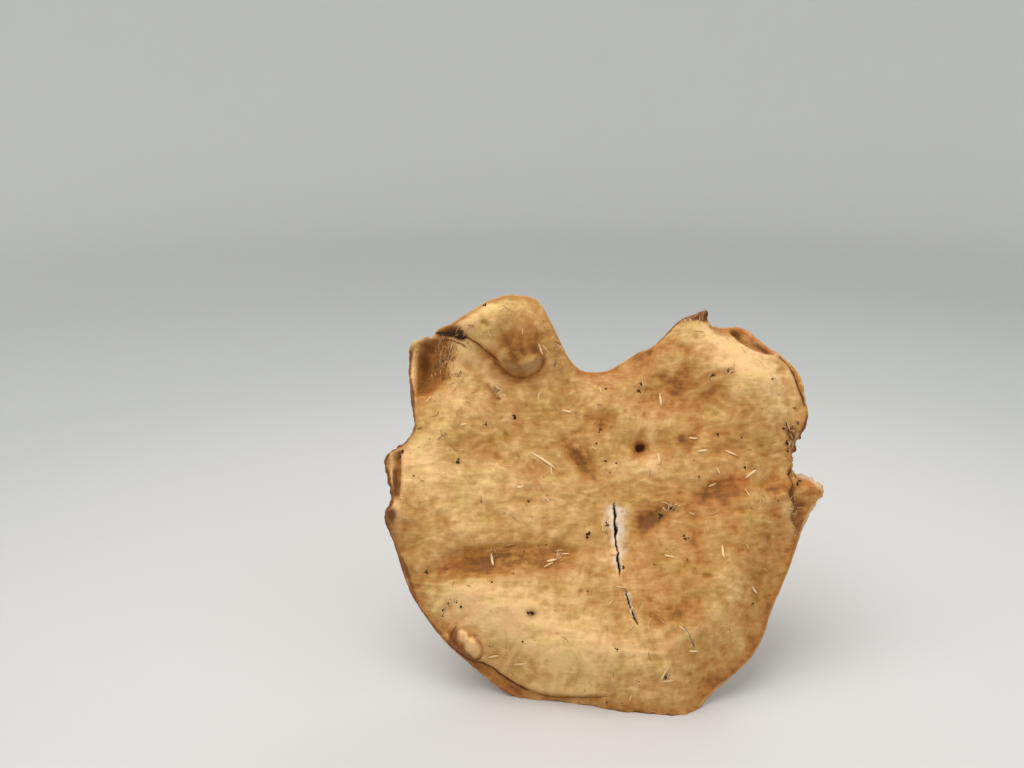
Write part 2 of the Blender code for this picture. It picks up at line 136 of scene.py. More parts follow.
# Dents and swellings too small for the solids, as in the table of forms
DENTS = [
    (-5.6, 10.5, 5.8, 2.6, -55, -0.5), (14.8, -5.6, 6.5, 3.6, 30, -0.45),
    (12.4, 14.9, 1.5, 1.3, 20, -2.4), (11, 16, 3.4, 2.8, 0, -0.6), (24, 29, 9, 5.5, -10, -0.45),
    (-40, -20, 8, 2.8, 8, -0.5), (-30, -40, 17, 6.5, -10, 1.8), (-10, -44, 15, 7, 0, 1),
    (-12, -20, 9, 3, 0, -0.9), (33, -1, 7, 4.5, 30, -0.6), (35, -24, 7, 4.5, 20, 1),
    (46, -24, 3, 8, 15, -0.8), (24, -32, 9, 3.5, 25, -0.9), (-20.2, -34, 1.7, 1.4, 0, -0.9),
    (43, 37, 14, 6, -33, 1.8), (46, 49, 10, 4, -36, -1), (38, 46, 9, 1.8, -32, 0.6),
    (42, 40, 9, 1.4, -28, -0.6), (47, 36, 8, 1.6, -34, 0.6), (-30, 48, 3, 5, -35, 0.6),
    (-25, 50, 2, 4, -10, -0.5), (-19, 50, 2.4, 6, 30, 0.6), (-20, 12, 8, 1.4, -32, 0.5),
    (0, 22.5, 5, 4, 0, -0.8), (-30, 3, 10, 6, 20, 0.9), (52, 8, 4, 7, 0, -1.2),
    (-50.8, 42.5, 3, 5.5, 0, -1.6), (12.5, 8, 8, 3, 5, 0.9), (17.5, 44, 6, 3, 30, -0.9),
    (-35, 26, 11, 7, 10, 0.9), (38, 14, 9, 2.4, 15, -0.7), (28, 17, 5, 1.6, 60, -0.8),
    (0, -30, 6, 10, 0, 0.7), (-45, 10, 6, 1.6, -20, -0.6), (-24, -5, 12, 2, -4, 0.7),
    (-34, -9, 9, 1.8, 3, 0.6),
]

# Blisters and lumps with steep sides: middle u and v, half lengths along and across, turn in degrees, height
LUMPS = [
    (-39.8, -39.8, 1.8, 1.5, -50, 1.8), (-37.2, -42.4, 2.7, 1.65, -48, 2.2),
    (-45.2, -39.9, 1.5, 1.2, -20, 1.5), (-6.6, 15, 1.3, 0.8, -20, 0.7), (7.2, -44.8, 1.7, 1, 10, 0.4),
    (6.4, -26.3, 1.2, 0.6, -60, 0.5), (37.3, -28.2, 3.4, 2.2, 20, 0.3),
]
LUMP_STEEPNESS = 7
LUMP_UNEVEN = 0.22
LUMP_TRENCH = 0.22
TRENCH_OUT = 1.25
TRENCH_WIDTH = 0.2
TRENCH_FROM_HEIGHT = 0.6

# Cracks through the skin: a line of (u, v) points, half width of the slit, depth, half width of bared flesh
CRACKS = [
    ([(4.3, -0.4), (4, -3.4), (4.4, -5.4), (4, -7.6), (4.6, -9.6), (4.2, -11.6), (4.4, -13.8),
     (4.9, -16.2), (4.6, -18.2), (5.1, -20.6), (4.9, -24.2)], 0.25, -3.2, 3.1),
    ([(6.3, -26.6), (7.2, -30), (8.2, -33.4), (9.9, -38)], 0.17, -2, 0.8),
    ([(22.1, -37.6), (23.8, -39.9), (24.9, -42), (25.8, -43.6)], 0.13, -0.7, 0.3),
]
CRACK_LIP = 0.28
CRACK_SINK = 0.22
# Share of its width that a crack, a stroke and a thin line keep at their ends
CRACK_ENDS = 0.35
STROKE_ENDS = 0.5
LINE_ENDS = 0.4

# Layers of the skin's relief: height and shift of the pattern, size of its lumps, how many finer layers
RELIEF = [(0.8, 0, 12, 3), (0.3, 40, 3.8, 2), (0.1, 80, 1.3, 1)]
# Low rays that run out to the margin, long wrinkles, and the crumpled margin
RAYS_AROUND = 26
RAY_LENGTH = 9
RAY_HEIGHT = 0.08
WRINKLE_HEIGHT = 0.26
WRINKLE_SIZE = 4.6
WRINKLE_BEND = 2.2
WRINKLE_PATCH = 17.0
WRINKLE_STRETCH = (0.40, 1.35)
RIM_CRUMPLE = 0.4
RIM_CRUMPLE_REACH = 5.0
# Small pits at random places: how many, the square they lie in, and the ranges of their measures in mm
PITS = 90
PIT_SEED = 8
PIT_REACH = 62.0
PIT_LENGTHS = (0.5, 1.5)
PIT_ROUNDNESS = (0.5, 0.9)
PIT_DEPTHS = (0.2, 0.6)

# Grids of the skin and the underside, and the rings round the rounded margin
GRID = 256
UNDER_GRID = 128
OUTLINE_POINTS = 4 * GRID
RIM_RINGS = 6
THINNEST_FLESH = 0.9
# Where the margin is torn and where it swells beyond that of the solid:
# angle and half width in degrees, distance in mm
RAGGED = [(13, 7, 1.1), (3, 6, 0.7), (58, 6, 0.8), (140, 12, 0.35), (172, 20, 0.5), (230, 30, 0.25)]
RAGGED_ELSEWHERE = 0.12
SWOLLEN = [(138.2, 3.6, 2.4), (133.3, 1.8, 1.4), (238, 11, 1.6), (222, 6, 0.6), (31, 8, 1.1)]

# How far in from the margin the skin is browned: angle in degrees, width in mm
BROWNED = [
    (0, 0.15), (5, 0.15), (9, 0.2), (12, 0.9), (14, 1.4), (18, 1.3), (23, 0.5), (28, 0.45), (36, 0.45),
    (42, 0.3), (49, 0.25), (55, 0.3), (60, 1.5), (66, 0.9), (76, 0.3), (100, 0.25), (118, 0.25),
    (130, 0.2), (136, 0.15), (140, 0.4), (143, 0.9), (152, 0.9), (160, 0.9), (168, 1.1), (176, 1.2),
    (184, 1.6), (190, 0.9), (205, 0.9), (216, 0.8), (228, 0.5), (240, 0.5), (250, 0.6), (258, 0.8),
    (275, 0.8), (290, 0.5), (310, 0.35), (335, 0.3), (350, 0.2),
]

# Soft zones of colour: middle u and v, half lengths along and across, turn in degrees, strength
# Pale zones: painted light on raised, lit parts, on the upper right and along the lower margin, and the pale
# flesh along the lobe's torn rim
PALE_AND_LIT_ZONES = [
    (66.5, 5, 1.6, 5, 60, 0.3), (64, 2.4, 4, 6, 0, 0.12), (58.4, 6.4, 0.9, 4, 8, 0.5),
    (-35, 27, 12, 8, 5, 0.06), (-53.5, 11.5, 5.5, 7.5, 0, 0.45), (43, 43.5, 13, 6.5, -28, 0.6),
    (56, 30, 5, 11, 0, 0.25), (-30, -34.5, 19, 6.5, 0, 0.45), (-12, -45, 16, 8, 0, 0.35),
    (8, -45.5, 4, 3, 0, 0.4), (-39, 0, 15, 9, 0, 0.25), (12.5, 8, 8, 3, 0, 0.3),
    (37.3, -28.2, 5.5, 4, 0, 0.22), (0, -56, 25, 5, 0, 0.3), (30.5, 27.5, 6, 4, -45, 0.26),
    (5, -14, 4, 12, 0, 0.2), (-14, 3, 14, 6, 0, 0.12), (-44, -27, 6, 5, 0, 0.2),
    (-38.4, -41.2, 4, 1.6, -50, 0.24), (-24, 57, 10, 2.5, 0, 0.15), (-36, 51, 8, 1.8, 28, 0.25),
    (20, 52, 7, 3, 30, 0.2), (47.2, 51, 2.2, 1.3, -38, 0.4),
]
# Ochre zones: the skin's own ochre and orange, as on the lips and the lobe, and painted shade in dents, along
# the groove and over the lower right
OCHRE_AND_SHADE_ZONES = [
    (-38, -47.6, 9, 1.9, -40, 0.42), (-26, -55, 7, 1.6, -28, 0.42), (-50.5, -38.5, 5, 1.5, -65, 0.4),
    (0, -59, 18, 2, -3, 0.4), (63.4, 4.6, 4.5, 3.6, 0, 0.2), (60.4, -4, 1.6, 5, 0, 0.3),
    (-38, -18.6, 9, 3.4, 4, 0.17), (-24, -16.8, 12, 2.6, 2, 0.14), (-10.4, -19.5, 7, 3.2, 0, 0.16),
    (-5, 10.3, 6.4, 3.2, -55, 0.28), (0, 22.4, 4.5, 4, 0, 0.25), (24, 30, 14, 9, -5, 0.15),
    (23.9, 16.8, 2, 1.8, 0, 0.4), (40, 19.7, 11, 9, 0, 0.18), (38.5, 2.6, 7, 4.2, 20, 0.36),
    (55.5, 2, 4, 8, 0, 0.4), (16.4, -4.7, 7.5, 3.6, 30, 0.45), (49.5, -6.8, 4.5, 12, 0, 0.18),
    (17.9, -33.8, 8, 5, 0, 0.22), (17.5, 44.5, 6, 3, 30, 0.25), (-22.4, 46.5, 8, 6.5, 0, 0.28),
    (31, 0, 8, 4, 20, 0.2), (-22, 41.5, 6, 2.4, 10, 0.3), (30, -16, 22, 18, 0, 0.16),
    (34, -46, 18, 12, 25, 0.12), (-37, -22.4, 9, 4, 5, 0.24), (24, 34, 6, 3.4, 0, 0.17),
    (-42, -40.6, 3.4, 3.4, 0, 0.25),
]
RUST_ZONES = [
    (40, 4.2, 4.4, 2.6, 20, 1.1), (57.4, 14, 2.2, 3, 0, 0.9), (-39.5, -18.2, 5, 3, 8, 0.75),
    (33.5, -1, 4, 2.4, 30, 0.3), (62.8, 5.2, 3.8, 2.8, -30, 0.95), (-22, 48, 4, 4, 0, 0.35),
    (62.4, 23.6, 1.3, 1.6, 0, 0.9), (-46, -16, 6, 4, 0, 0.15), (6.8, -24, 1.6, 2.6, 0, 0.3),
]
# Painted shade, soft and brown, in hollows, along folds and under overhangs; in the pocket it is partly the
# skin's own brown
SHADE_ZONES = [
    (-52.2, 41.2, 2, 6.2, 0, 0.95), (-49, 45.6, 3, 1.6, 0, 0.4), (-43.4, 47.9, 3.2, 1.3, -8, 1.2),
    (12.4, 14.9, 1.3, 1.1, 0, 1.1), (11, 16, 3, 2.4, 0, 0.25), (-1.6, 5.8, 1.5, 1, -55, 0.5),
    (-30.3, 31.4, 1.5, 1.2, -40, 0.8), (16.5, -4.2, 4.6, 2.8, 30, 0.24), (20.4, -2.8, 2, 1.4, 30, 0.36),
    (57.2, 20, 2, 1.5, 0, 0.65), (12, -6, 0.8, 3, 0, 0.4), (-20.3, -34, 2, 1.6, 0, 0.6),
    (-60.9, -5.6, 2.2, 2, -20, 1.1), (-60.6, -11.5, 1.8, 4, 8, 0.65), (-59.7, 4.4, 1, 5.2, 3, 1.15),
    (-60.3, 11.8, 1.8, 1.8, 0, 0.55), (57.6, 2, 1.2, 5, 0, 0.3), (57.8, 18.6, 1.8, 3, 0, 0.75),
    (30.5, 55, 3.6, 1.2, 8, 0.85), (43.9, 52.6, 2.2, 0.9, -48, 0.75), (51.8, 47.4, 3.2, 0.9, -38, 0.85),
    (48.6, 49.2, 4, 1.6, -38, 0.25), (-22.6, 39.6, 6, 2.6, 5, 0.3), (-44, 42, 5, 3, -30, 0.2),
    (-48, 46.5, 3, 2, 0, 0.3), (-24.6, -54.2, 4, 0.8, -25, 0.8), (27, 52.6, 4.6, 1.8, 38, 0.36),
    (-40.6, -43, 2.6, 0.9, -48, 0.8), (-41.8, -39.2, 1.1, 1.5, 0, 0.65), (24.4, 16.6, 1, 0.8, 0, 0.6),
]

# Lines of colour: (u, v) points, half width, strength. The shade strokes are painted shade along creases and
# fold lines and under overhangs
SHADE_STROKES = [
    ([(-28.4, 39), (-25.6, 37.6), (-22.6, 37.2), (-20, 37.8), (-17.9, 39.4), (-16.6, 41.6)], 1.3, 0.62),
    ([(-56, 34.6), (-55.4, 30), (-55.2, 24), (-54.8, 19.6), (-56.4, 17.4), (-59, 15)], 0.7, 0.95),
    ([(-55.6, 46), (-55.8, 41), (-55.8, 35)], 0.8, 0.3),
    ([(-59.6, -14.8), (-57.2, -19.4), (-54.8, -25.8), (-52.9, -31.2), (-50.6, -36.4), (-47.6, -39.6)],
     0.55, 0.8),
    ([(-42, -37), (-43.3, -39.4), (-41.6, -42), (-39.4, -44.4), (-36.4, -46.2), (-34.4, -45.2)], 0.45,
     0.86),
    ([(-34.4, -45.2), (-34.4, -42.4), (-36.4, -39.9), (-38.4, -37.6)], 0.35, 0.4),
    ([(-44, -17), (-38, -16.2), (-30, -15.4), (-22, -15.2), (-14, -15.4)], 0.5, 0.32),
    ([(-20, -55.4), (-12, -56.8), (-4, -57.6), (4, -58.2), (12, -59.6)], 0.6, 0.35),
    ([(41, 55.3), (44.6, 55.2), (48.4, 52.6), (52.2, 49.4), (55.4, 47)], 0.5, 0.25),
    ([(60, 12), (57.8, 9), (56.9, 3), (57.4, -2), (58, -5.6), (60, -10.6)], 0.5, 0.4),
    ([(23.6, 56), (27.1, 56.4), (31, 56.2), (35.4, 57.8)], 0.5, 0.6),
    ([(17.6, 46.4), (14.6, 44.4), (10.8, 42.8)], 0.5, 0.35),
    ([(-54.6, 13), (-50, 14.6), (-47, 12.6), (-44.6, 9.6)], 0.3, 0.25),
]
# Dark strokes: painted shadow in the hole under the flap's lip, a dark mark at the spike's tip and a dark
# core in the left lip
DARK_STROKES = [
    ([(-47.5, 48.2), (-44.4, 47.8), (-41.8, 46.8), (-39.6, 46)], 0.7, 0.9),
    ([(33.6, 58.4), (35.2, 59)], 0.7, 0.7),
    ([(-60.2, 7.4), (-59.9, 3), (-59.7, -0.6)], 0.4, 0.5),
]
FLESH_STROKES = [
    ([(59, 9.6), (60.6, 7.7), (64, 6.6), (67.2, 3.3)], 0.9, 0.66),
    ([(67, 2.8), (65.4, -0.4), (63.4, -2.8), (61.6, -6.2), (60, -9.6)], 0.5, 0.5),
    ([(60, 19.6), (58.8, 17), (58.6, 14.6)], 0.8, 0.55),
]
RUST_STROKES = [
    ([(-54.9, -25), (-53.2, -29.6)], 1, 0.9),
    ([(-29.5, -53), (-26, -54.8), (-22, -56.2)], 1, 0.8),
    ([(59.6, 8.4), (63, 8), (66.6, 6.8)], 1, 0.6),
    ([(38.6, 54.6), (41.6, 54.9), (45, 53.9), (48.4, 51.5), (51.2, 49), (54, 46.6)], 0.9, 1.1),
]
# Thin dark lines, kept crisp by the material, mostly painted shade in creases and small holes with a few dark
# streaks of the skin: (u, v) points, half width, strength
THIN_LINES = [
    ([(-45, 47.4), (-40.4, 46.3), (-36.6, 44.1), (-33.1, 41.7), (-29.8, 39.3), (-28.2, 37.4)], 0.15, 0.46),
    ([(-48.6, 46.8), (-45.6, 46.4), (-42.9, 45.5), (-40.6, 44.1), (-38.4, 42.3)], 0.14, 0.46),
    ([(-49.6, 49.2), (-46.4, 48.6), (-43.6, 47.9), (-41.2, 46.9), (-38.8, 46)], 0.26, 0.95),
    ([(-31, 39.2), (-28.4, 37.2), (-25.7, 35.7), (-22.6, 35.3), (-20, 35.9), (-17.4, 37.9),
     (-15.8, 40.6)], 0.13, 0.26),
    ([(-47.6, -38.6), (-45, -41.1), (-41.5, -43.8), (-37, -46.4), (-34.5, -46.8), (-31.3, -48.3),
     (-28.9, -50.1), (-26.1, -51.8), (-22.6, -53.6), (-18, -55)], 0.17, 0.62),
    ([(-21, -54.2), (-17, -55.2), (-11.7, -55.8), (-5.1, -56.1), (3, -56.4)], 0.11, 0.36),
    ([(62.8, 26.4), (62.4, 31), (61.2, 35.4), (60.2, 39.2), (58.2, 42.8), (55, 46)], 0.27, 0.68),
    ([(54.8, 45.3), (52.3, 44.8), (48.4, 45.5), (45.2, 47.7), (43.2, 50.7), (42, 54)], 0.16, 0.55),
    ([(60, 12), (58.4, 9.6), (56.6, 7.2), (57.6, 4.4), (56.2, 1.4), (57.7, -1.8), (57, -5), (58.8, -8)],
     0.14, 0.45),
    ([(14.9, -3.4), (14.7, -6.5), (15.2, -9.8)], 0.22, 0.26),
    ([(17.4, -4.6), (16.8, -7.8)], 0.26, 0.26),
    ([(12.4, -4.8), (12.2, -8.8)], 0.3, 0.2),
    ([(-2.6, 7.2), (-1.4, 5.2), (-0.6, 3.8)], 0.3, 0.3),
    ([(11, 14.5), (12, 15.1), (13, 15.2), (13.8, 14.8)], 0.62, 0.9),
]
LINE_HALF_WIDTHS = 6.0

# Painted shade in the skin's hollows and painted light on its rises: passes of blur on the grid and the depth
# in mm for the full effect
FINE_BLUR = 8
FINE_HOLLOW = 0.22
BROAD_BLUR = 130
BROAD_HOLLOW = 1.1
FINE_SHARE = 0.45
HOLLOW_SHADE_TONE = 0.3

LINE_STEPS = 5
LINE_REACH = 14.0
FAR_AWAY = 99.0
CHUNK = 6000


def smooth_step(value):
    """Rises from 0 to 1 with level ends."""
    x = np.clip(value, 0.0, 1.0)
    return x * x * (3.0 - 2.0 * x)


def from_low(low, share):
    """Rises evenly from the low value at a share of 0 to 1 at a share of 1."""
    return low + (1.0 - low) * share


def unit(vectors):
    """The vectors at length one."""
    return vectors / np.linalg.norm(vectors, axis=-1, keepdims=True)


def spline(padded, steps):
    """A smooth curve through a row of corners, but for the first and last, as points along each stretch."""
    before, here, after, beyond = (padded[i:len(padded) - 3 + i, None, :] for i in range(4))
    x = (np.arange(steps) / steps)[None, :, None]
    curve = here + 0.5 * (after - before) * x
    curve = curve + 0.5 * (2.0 * before - 5.0 * here + 4.0 * after - beyond) * x ** 2
    curve = curve + 0.5 * (3.0 * here - before - 3.0 * after + beyond) * x ** 3
    return curve.reshape(-1, padded.shape[1])


def margin_curve(count):
    """The margin as evenly spaced u, v, w points."""
    angle, radius, level = np.array(MARGIN, dtype=float).T
    angle = np.radians(angle)
    corners = np.stack([radius * np.cos(angle), radius * np.sin(angle), level], axis=1)
    curve = spline(np.vstack([corners[-1:], corners, corners[:2]]), SPLINE_STEPS)
    closed = np.vstack([curve, curve[:1]])
    steps = np.linalg.norm(np.diff(closed[:, :2], axis=0), axis=1)
    travelled = np.concatenate([[0.0], np.cumsum(steps)])
    stops = np.linspace(0.0, travelled[-1], count, endpoint=False)
    return np.stack([np.interp(stops, travelled, closed[:, i]) for i in range(3)], axis=1)


COARSE_MARGIN = margin_curve(MARGIN_POINTS)


def along_stretches(offset, along):
    """Share of each straight stretch at which it comes nearest to each point, and the distance there."""
    share = np.clip(np.sum(offset * along[None], axis=2) / np.sum(along ** 2, axis=1), 0.0, 1.0)
    return share, np.linalg.norm(offset - share[:, :, None] * along[None], axis=2)


def margin_effect(points):
    """Distance of each point from the margin, and how far the margin near it is bent."""
    following = np.roll(COARSE_MARGIN, -1, axis=0)
    start, along = COARSE_MARGIN[:, :2], (following - COARSE_MARGIN)[:, :2]
    middle = 0.5 * (COARSE_MARGIN[:, 2] + following[:, 2])
    gap = np.empty(len(points))
    bend = np.empty(len(points))
    for first in range(0, len(points), CHUNK):
        part = slice(first, first + CHUNK)
        _, gaps = along_stretches(points[part][:, None, :] - start[None], along)
        weights = 1.0 / (gaps + 0.5) ** 4
        gap[part] = gaps.min(axis=1)
        bend[part] = weights @ middle / weights.sum(axis=1)
    return gap, bend


def inside_margin(points):
    """Which points lie inside the margin."""
    outline = COARSE_MARGIN[:, :2]
    result = np.zeros(len(points), dtype=bool)
    for start, end in zip(outline, np.roll(outline, -1, axis=0)):
        crosses = (start[1] > points[:, 1]) != (end[1] > points[:, 1])
        rise = end[1] - start[1] if end[1] != start[1] else 1.0
        reach = start[0] + (points[:, 1] - start[1]) / rise * (end[0] - start[0])
        result ^= crosses & (points[:, 0] < reach)
    return result


def cap_radius_share(points):
    """How far out each point lies, from 0 at the middle to 1 at the margin."""
    angles = np.arctan2(COARSE_MARGIN[:, 1], COARSE_MARGIN[:, 0])
    order = np.argsort(angles)
    radii = np.hypot(COARSE_MARGIN[order, 0], COARSE_MARGIN[order, 1])
    edge = np.interp(np.arctan2(points[:, 1], points[:, 0]), angles[order], radii, period=FULL_TURN)
    return np.clip(np.hypot(points[:, 0], points[:, 1]) / edge, 0.0, 1.0)


def in_oval(points, u, v, along, across, turn):
    """Places of the points along and across an oval, whose edge is at a distance of 1."""
    c, s = math.cos(math.radians(turn)), math.sin(math.radians(turn))
    du, dv = points[:, 0] - u, points[:, 1] - v
    return (du * c + dv * s) / along, (dv * c - du * s) / across


def spots(points, table):
    """Sum of soft oval spots: middle u and v, half lengths along and across, turn in degrees, strength."""
    total = np.zeros(len(points))
    for *oval, strength in table:
        a, b = in_oval(points, *oval)
        total += strength * np.exp(-(a * a + b * b))
    return total


def sheet_level(points):
    """Level of the smooth sheet that the cap is formed from, and the distance from the margin."""
    share = cap_radius_share(points)
    gap, bend = margin_effect(points)
    crown = CROWN_HEIGHT * share ** 2 * (1.0 - share ** 4)
    return crown + bend * np.exp(-(gap / MARGIN_REACH) ** 2) + spots(points, FORMS), gap


class Ripple:
    """Smooth seeded noise over the plane, from about -1 to 1."""

    CELLS = 256
    GAIN = 1.4

    def __init__(self, seed):
        rng = np.random.default_rng(seed)
        turn = rng.uniform(0.0, FULL_TURN, self.CELLS)
        self.slope = np.stack([np.cos(turn), np.sin(turn)], axis=1)
        self.order = rng.permutation(self.CELLS)

    def corner(self, cell_u, cell_v, u, v):
        """Height of the slope that belongs to a corner of a cell, at a place measured from that corner."""
        pick = self.order[(self.order[cell_u % self.CELLS] + cell_v) % self.CELLS]
        return self.slope[pick, 0] * u + self.slope[pick, 1] * v

    def at(self, points, size):
        """The noise at each point, for lumps of about the given size."""
        u, v = points[:, 0] / size, points[:, 1] / size
        cell_u, cell_v = np.floor(u).astype(int), np.floor(v).astype(int)
        u, v = u - cell_u, v - cell_v
        fade_u, fade_v = (x ** 3 * (x * (6.0 * x - 15.0) + 10.0) for x in (u, v))
        low, high = (self.corner(cell_u, cell_v + k, u, v - k) * (1.0 - fade_u)
                     + self.corner(cell_u + 1, cell_v + k, u - 1.0, v - k) * fade_u for k in (0, 1))
        return self.GAIN * (low * (1.0 - fade_v) + high * fade_v)

    def layers(self, points, size, count):
        """The noise with finer and weaker layers added."""
        return sum(self.at(points + 17.3 * k, size / 2.0 ** k) / 2.0 ** k for k in range(count))


SHAPE_NOISE = Ripple(3)
TONE_NOISE = Ripple(4)


def scattered_pits():
    """Small pits at random places, as soft oval spots."""
    rng = np.random.default_rng(PIT_SEED)
    middles = rng.uniform(-PIT_REACH, PIT_REACH, (PITS, 2))
    along = rng.uniform(*PIT_LENGTHS, PITS)
    across = along * rng.uniform(*PIT_ROUNDNESS, PITS)
    turns = rng.uniform(0.0, 180.0, PITS)
    return np.column_stack([middles, along, across, turns, -rng.uniform(*PIT_DEPTHS, PITS)])


PIT_TABLE = scattered_pits()


def place_on_line(points, line):
    """Distance of each point to the left of a smooth line, how far along it lies, and which way left is."""
    corners = np.array(line, dtype=float)
    padded = np.vstack([2.0 * corners[0] - corners[1], corners, 2.0 * corners[-1] - corners[-2]])
    corners = np.vstack([spline(padded, LINE_STEPS), corners[-1:]])
    away = np.full(len(points), FAR_AWAY)
    part = np.zeros(len(points))
    left = np.zeros((len(points), 2))
    low, high = corners.min(axis=0) - LINE_REACH, corners.max(axis=0) + LINE_REACH
    near = np.flatnonzero(np.all((points > low) & (points < high), axis=1))
    if len(near) == 0:
        return away, part, left
    along = np.diff(corners, axis=0)
    length = np.linalg.norm(along, axis=1)
    offset = points[near][:, None, :] - corners[None, :-1, :]
    share, gaps = along_stretches(offset, along)
    pick = gaps.argmin(axis=1)
    rows = np.arange(len(near))
    travelled = np.concatenate([[0.0], np.cumsum(length)[:-1]])
    normal = np.stack([-along[:, 1], along[:, 0]], axis=1) / length[:, None]
    side = np.where(np.sum(offset[rows, pick] * normal[pick], axis=1) < 0.0, -1.0, 1.0)
    away[near] = side * gaps[rows, pick]
    part[near] = (travelled[pick] + share[rows, pick] * length[pick]) / length.sum()
    left[near] = normal[pick]
    return away, part, left


def tapered(share):
    """Narrows a crack or fold towards both ends."""
    return smooth_step(np.minimum(share, 1.0 - share) * 6.0)


def folded(points):
    """How far the folds push the skin over the plane, and how high they lift it."""
    push = np.zeros((len(points), 2))
    lift = np.zeros(len(points))
    for line, rise, rise_reach, drop, drop_reach, wall, overhang in FOLDS:
        away, share, left = place_on_line(points, line)
        fade = tapered(share)
        above, below = np.clip(away, 0.0, None), np.clip(-away, 0.0, None)
        foot = np.exp(-above / wall)
        lift += fade * rise * (1.0 - foot) * np.exp(-(above / rise_reach) ** 1.5)
        lift -= fade * drop * foot * np.exp(-(below / drop_reach) ** 1.5)
        over = overhang * smooth_step((away + 0.3) / 1.3) * np.exp(-(above / (1.0 + 1.3 * overhang)) ** 2)
        push -= (fade * over)[:, None] * left
    return push, lift


def lumps(points):
    """Height of the steep-sided lumps, each with a shallow trench round it."""
    total = np.zeros(len(points))
    uneven = 1.0 + LUMP_UNEVEN * SHAPE_NOISE.at(points + 12.0, 1.9)
    for *oval, height in LUMPS:
        out = uneven * np.hypot(*in_oval(points, *oval))
        trench = LUMP_TRENCH * max(height - TRENCH_FROM_HEIGHT, 0.0)
        total += height * np.exp(-out ** LUMP_STEEPNESS)
        total -= trench * np.exp(-((out - TRENCH_OUT) / TRENCH_WIDTH) ** 2)
    return total


def line_unevenness(points):
    """How far cracks and thin lines wander, in half widths, and how much their width varies."""
    wander = 0.6 * SHAPE_NOISE.at(points, 1.6) + 0.3 * SHAPE_NOISE.at(points, 0.7)
    return wander, 1.0 + 0.9 * SHAPE_NOISE.at(points + 5.0, 3.0)


def crack_relief(points):
    """Height of the cracks: a slit between raised lips, in slightly sunken flesh."""
    total = np.zeros(len(points))
    wander, uneven = line_unevenness(points)
    for line, half_width, depth, flesh in CRACKS:
        away, share, _ = place_on_line(points, line)
        width = half_width * from_low(CRACK_ENDS, tapered(share)) * uneven
        away = np.abs(away + wander * half_width)
        slit = depth * (1.0 - smooth_step((away - 0.3 * width) / (1.2 * width)))
        lips = CRACK_LIP * np.exp(-((away - 1.9 * half_width) / (1.3 * half_width)) ** 2)
        total += tapered(share) * (slit + lips - CRACK_SINK * np.exp(-(away / flesh) ** 4))
    return total


def wrinkles(points):
    """Height of long low wrinkles that come and go over the skin, from 0 to 1."""
    here = smooth_step(0.5 + 1.4 * SHAPE_NOISE.at(points + 600.0, WRINKLE_PATCH))
    bend = np.stack([SHAPE_NOISE.at(points + shift, 8.0) for shift in (30.0, 90.0)], axis=1)
    bent = (points + WRINKLE_BEND * bend) * np.array(WRINKLE_STRETCH) + 700.0
    ridge = 1.0 - np.abs(SHAPE_NOISE.at(bent, WRINKLE_SIZE)) * 2.2
    return here * np.clip(ridge, 0.0, 1.0) ** 1.5


def fine_relief(points, gap):
    """Height of the skin's cracks and small relief above the smooth sheet and its folds."""
    total = spots(points, DENTS) + spots(points, PIT_TABLE) + lumps(points) + crack_relief(points)
    for height, shift, size, count in RELIEF:
        total += height * SHAPE_NOISE.layers(points + shift, size, count)
    direction = np.arctan2(points[:, 1], points[:, 0])
    rays = np.stack([direction * RAYS_AROUND, np.hypot(points[:, 0], points[:, 1]) / RAY_LENGTH], axis=1)
    crumpled = SHAPE_NOISE.layers(rays * np.array([0.55, 1.0]), 1.6, 2)
    total += RAY_HEIGHT * SHAPE_NOISE.at(rays, 1.0) + WRINKLE_HEIGHT * wrinkles(points)
    return total + RIM_CRUMPLE * np.exp(-gap / RIM_CRUMPLE_REACH) * crumpled


def skin_place(points):
    """Places u, v, w of the upper skin with its folds and fine relief."""
    level, gap = sheet_level(points)
    push, lift = folded(points)
    return np.column_stack([points + push, level + lift + fine_relief(points, gap)])


def beyond_neck(from_stem):
    """Rises from 0 at the neck to 1 where the cap's underside is free of it."""
    return smooth_step((from_stem - NECK_RADIUS) / (NECK_REACH - NECK_RADIUS))


def underside_level(points):
    """Level of the underside between its spines, with the neck that carries the stem."""
    level, gap = sheet_level(points)
    flesh = RIM_THICKNESS + FLESH_GROWTH * (1.0 - np.exp(-gap / FLESH_REACH))
    natural = level - flesh + 0.15 * SHAPE_NOISE.at(points, 5.0)
    from_stem = np.hypot(points[:, 0] - STEM_U, points[:, 1] - STEM_V)
    return NECK_LEVEL + (natural - NECK_LEVEL) * beyond_neck(from_stem)


def to_world(points):
    """Turns u, v, w in millimetres into metres on the floor, pressed flat where it touches."""
    u, v, w = np.asarray(points, dtype=float).T
    c, s = math.cos(CAP_LEAN), math.sin(CAP_LEAN)
    x = CAP_CENTRE[0] + u
    y = CAP_CENTRE[1] + v * c - w * s
    z = CAP_CENTRE[2] + v * s + w * c
    z = np.maximum(z - PRESS_DEPTH * (1.0 - smooth_step(z / PRESS_REACH)), 0.0)
    return np.stack([x, y, z], axis=1) * MM


def ragged_outline():
    """The outline with its torn and ragged stretches, the direction outward and how torn it is."""
    flat = margin_curve(OUTLINE_POINTS)[:, :2]
    along = np.roll(flat, -3, axis=0) - np.roll(flat, 3, axis=0)
    outward = unit(np.stack([along[:, 1], -along[:, 0]], axis=1))
    angle = np.degrees(np.arctan2(flat[:, 1], flat[:, 0])) % 360.0
    torn = np.full(len(flat), RAGGED_ELSEWHERE)
    for middle, half, amount in RAGGED:
        away = (angle - middle + 180.0) % 360.0 - 180.0
        torn = np.maximum(torn, amount * np.exp(-(away / half) ** 4))
    tear = torn * (SHAPE_NOISE.layers(flat + 200.0, 2.6, 3) - 0.25)
    swelling = sum(amount * np.exp(-((angle - middle) / half) ** 2) for middle, half, amount in SWOLLEN)
    return flat + (tear + swelling)[:, None] * outward, outward, torn


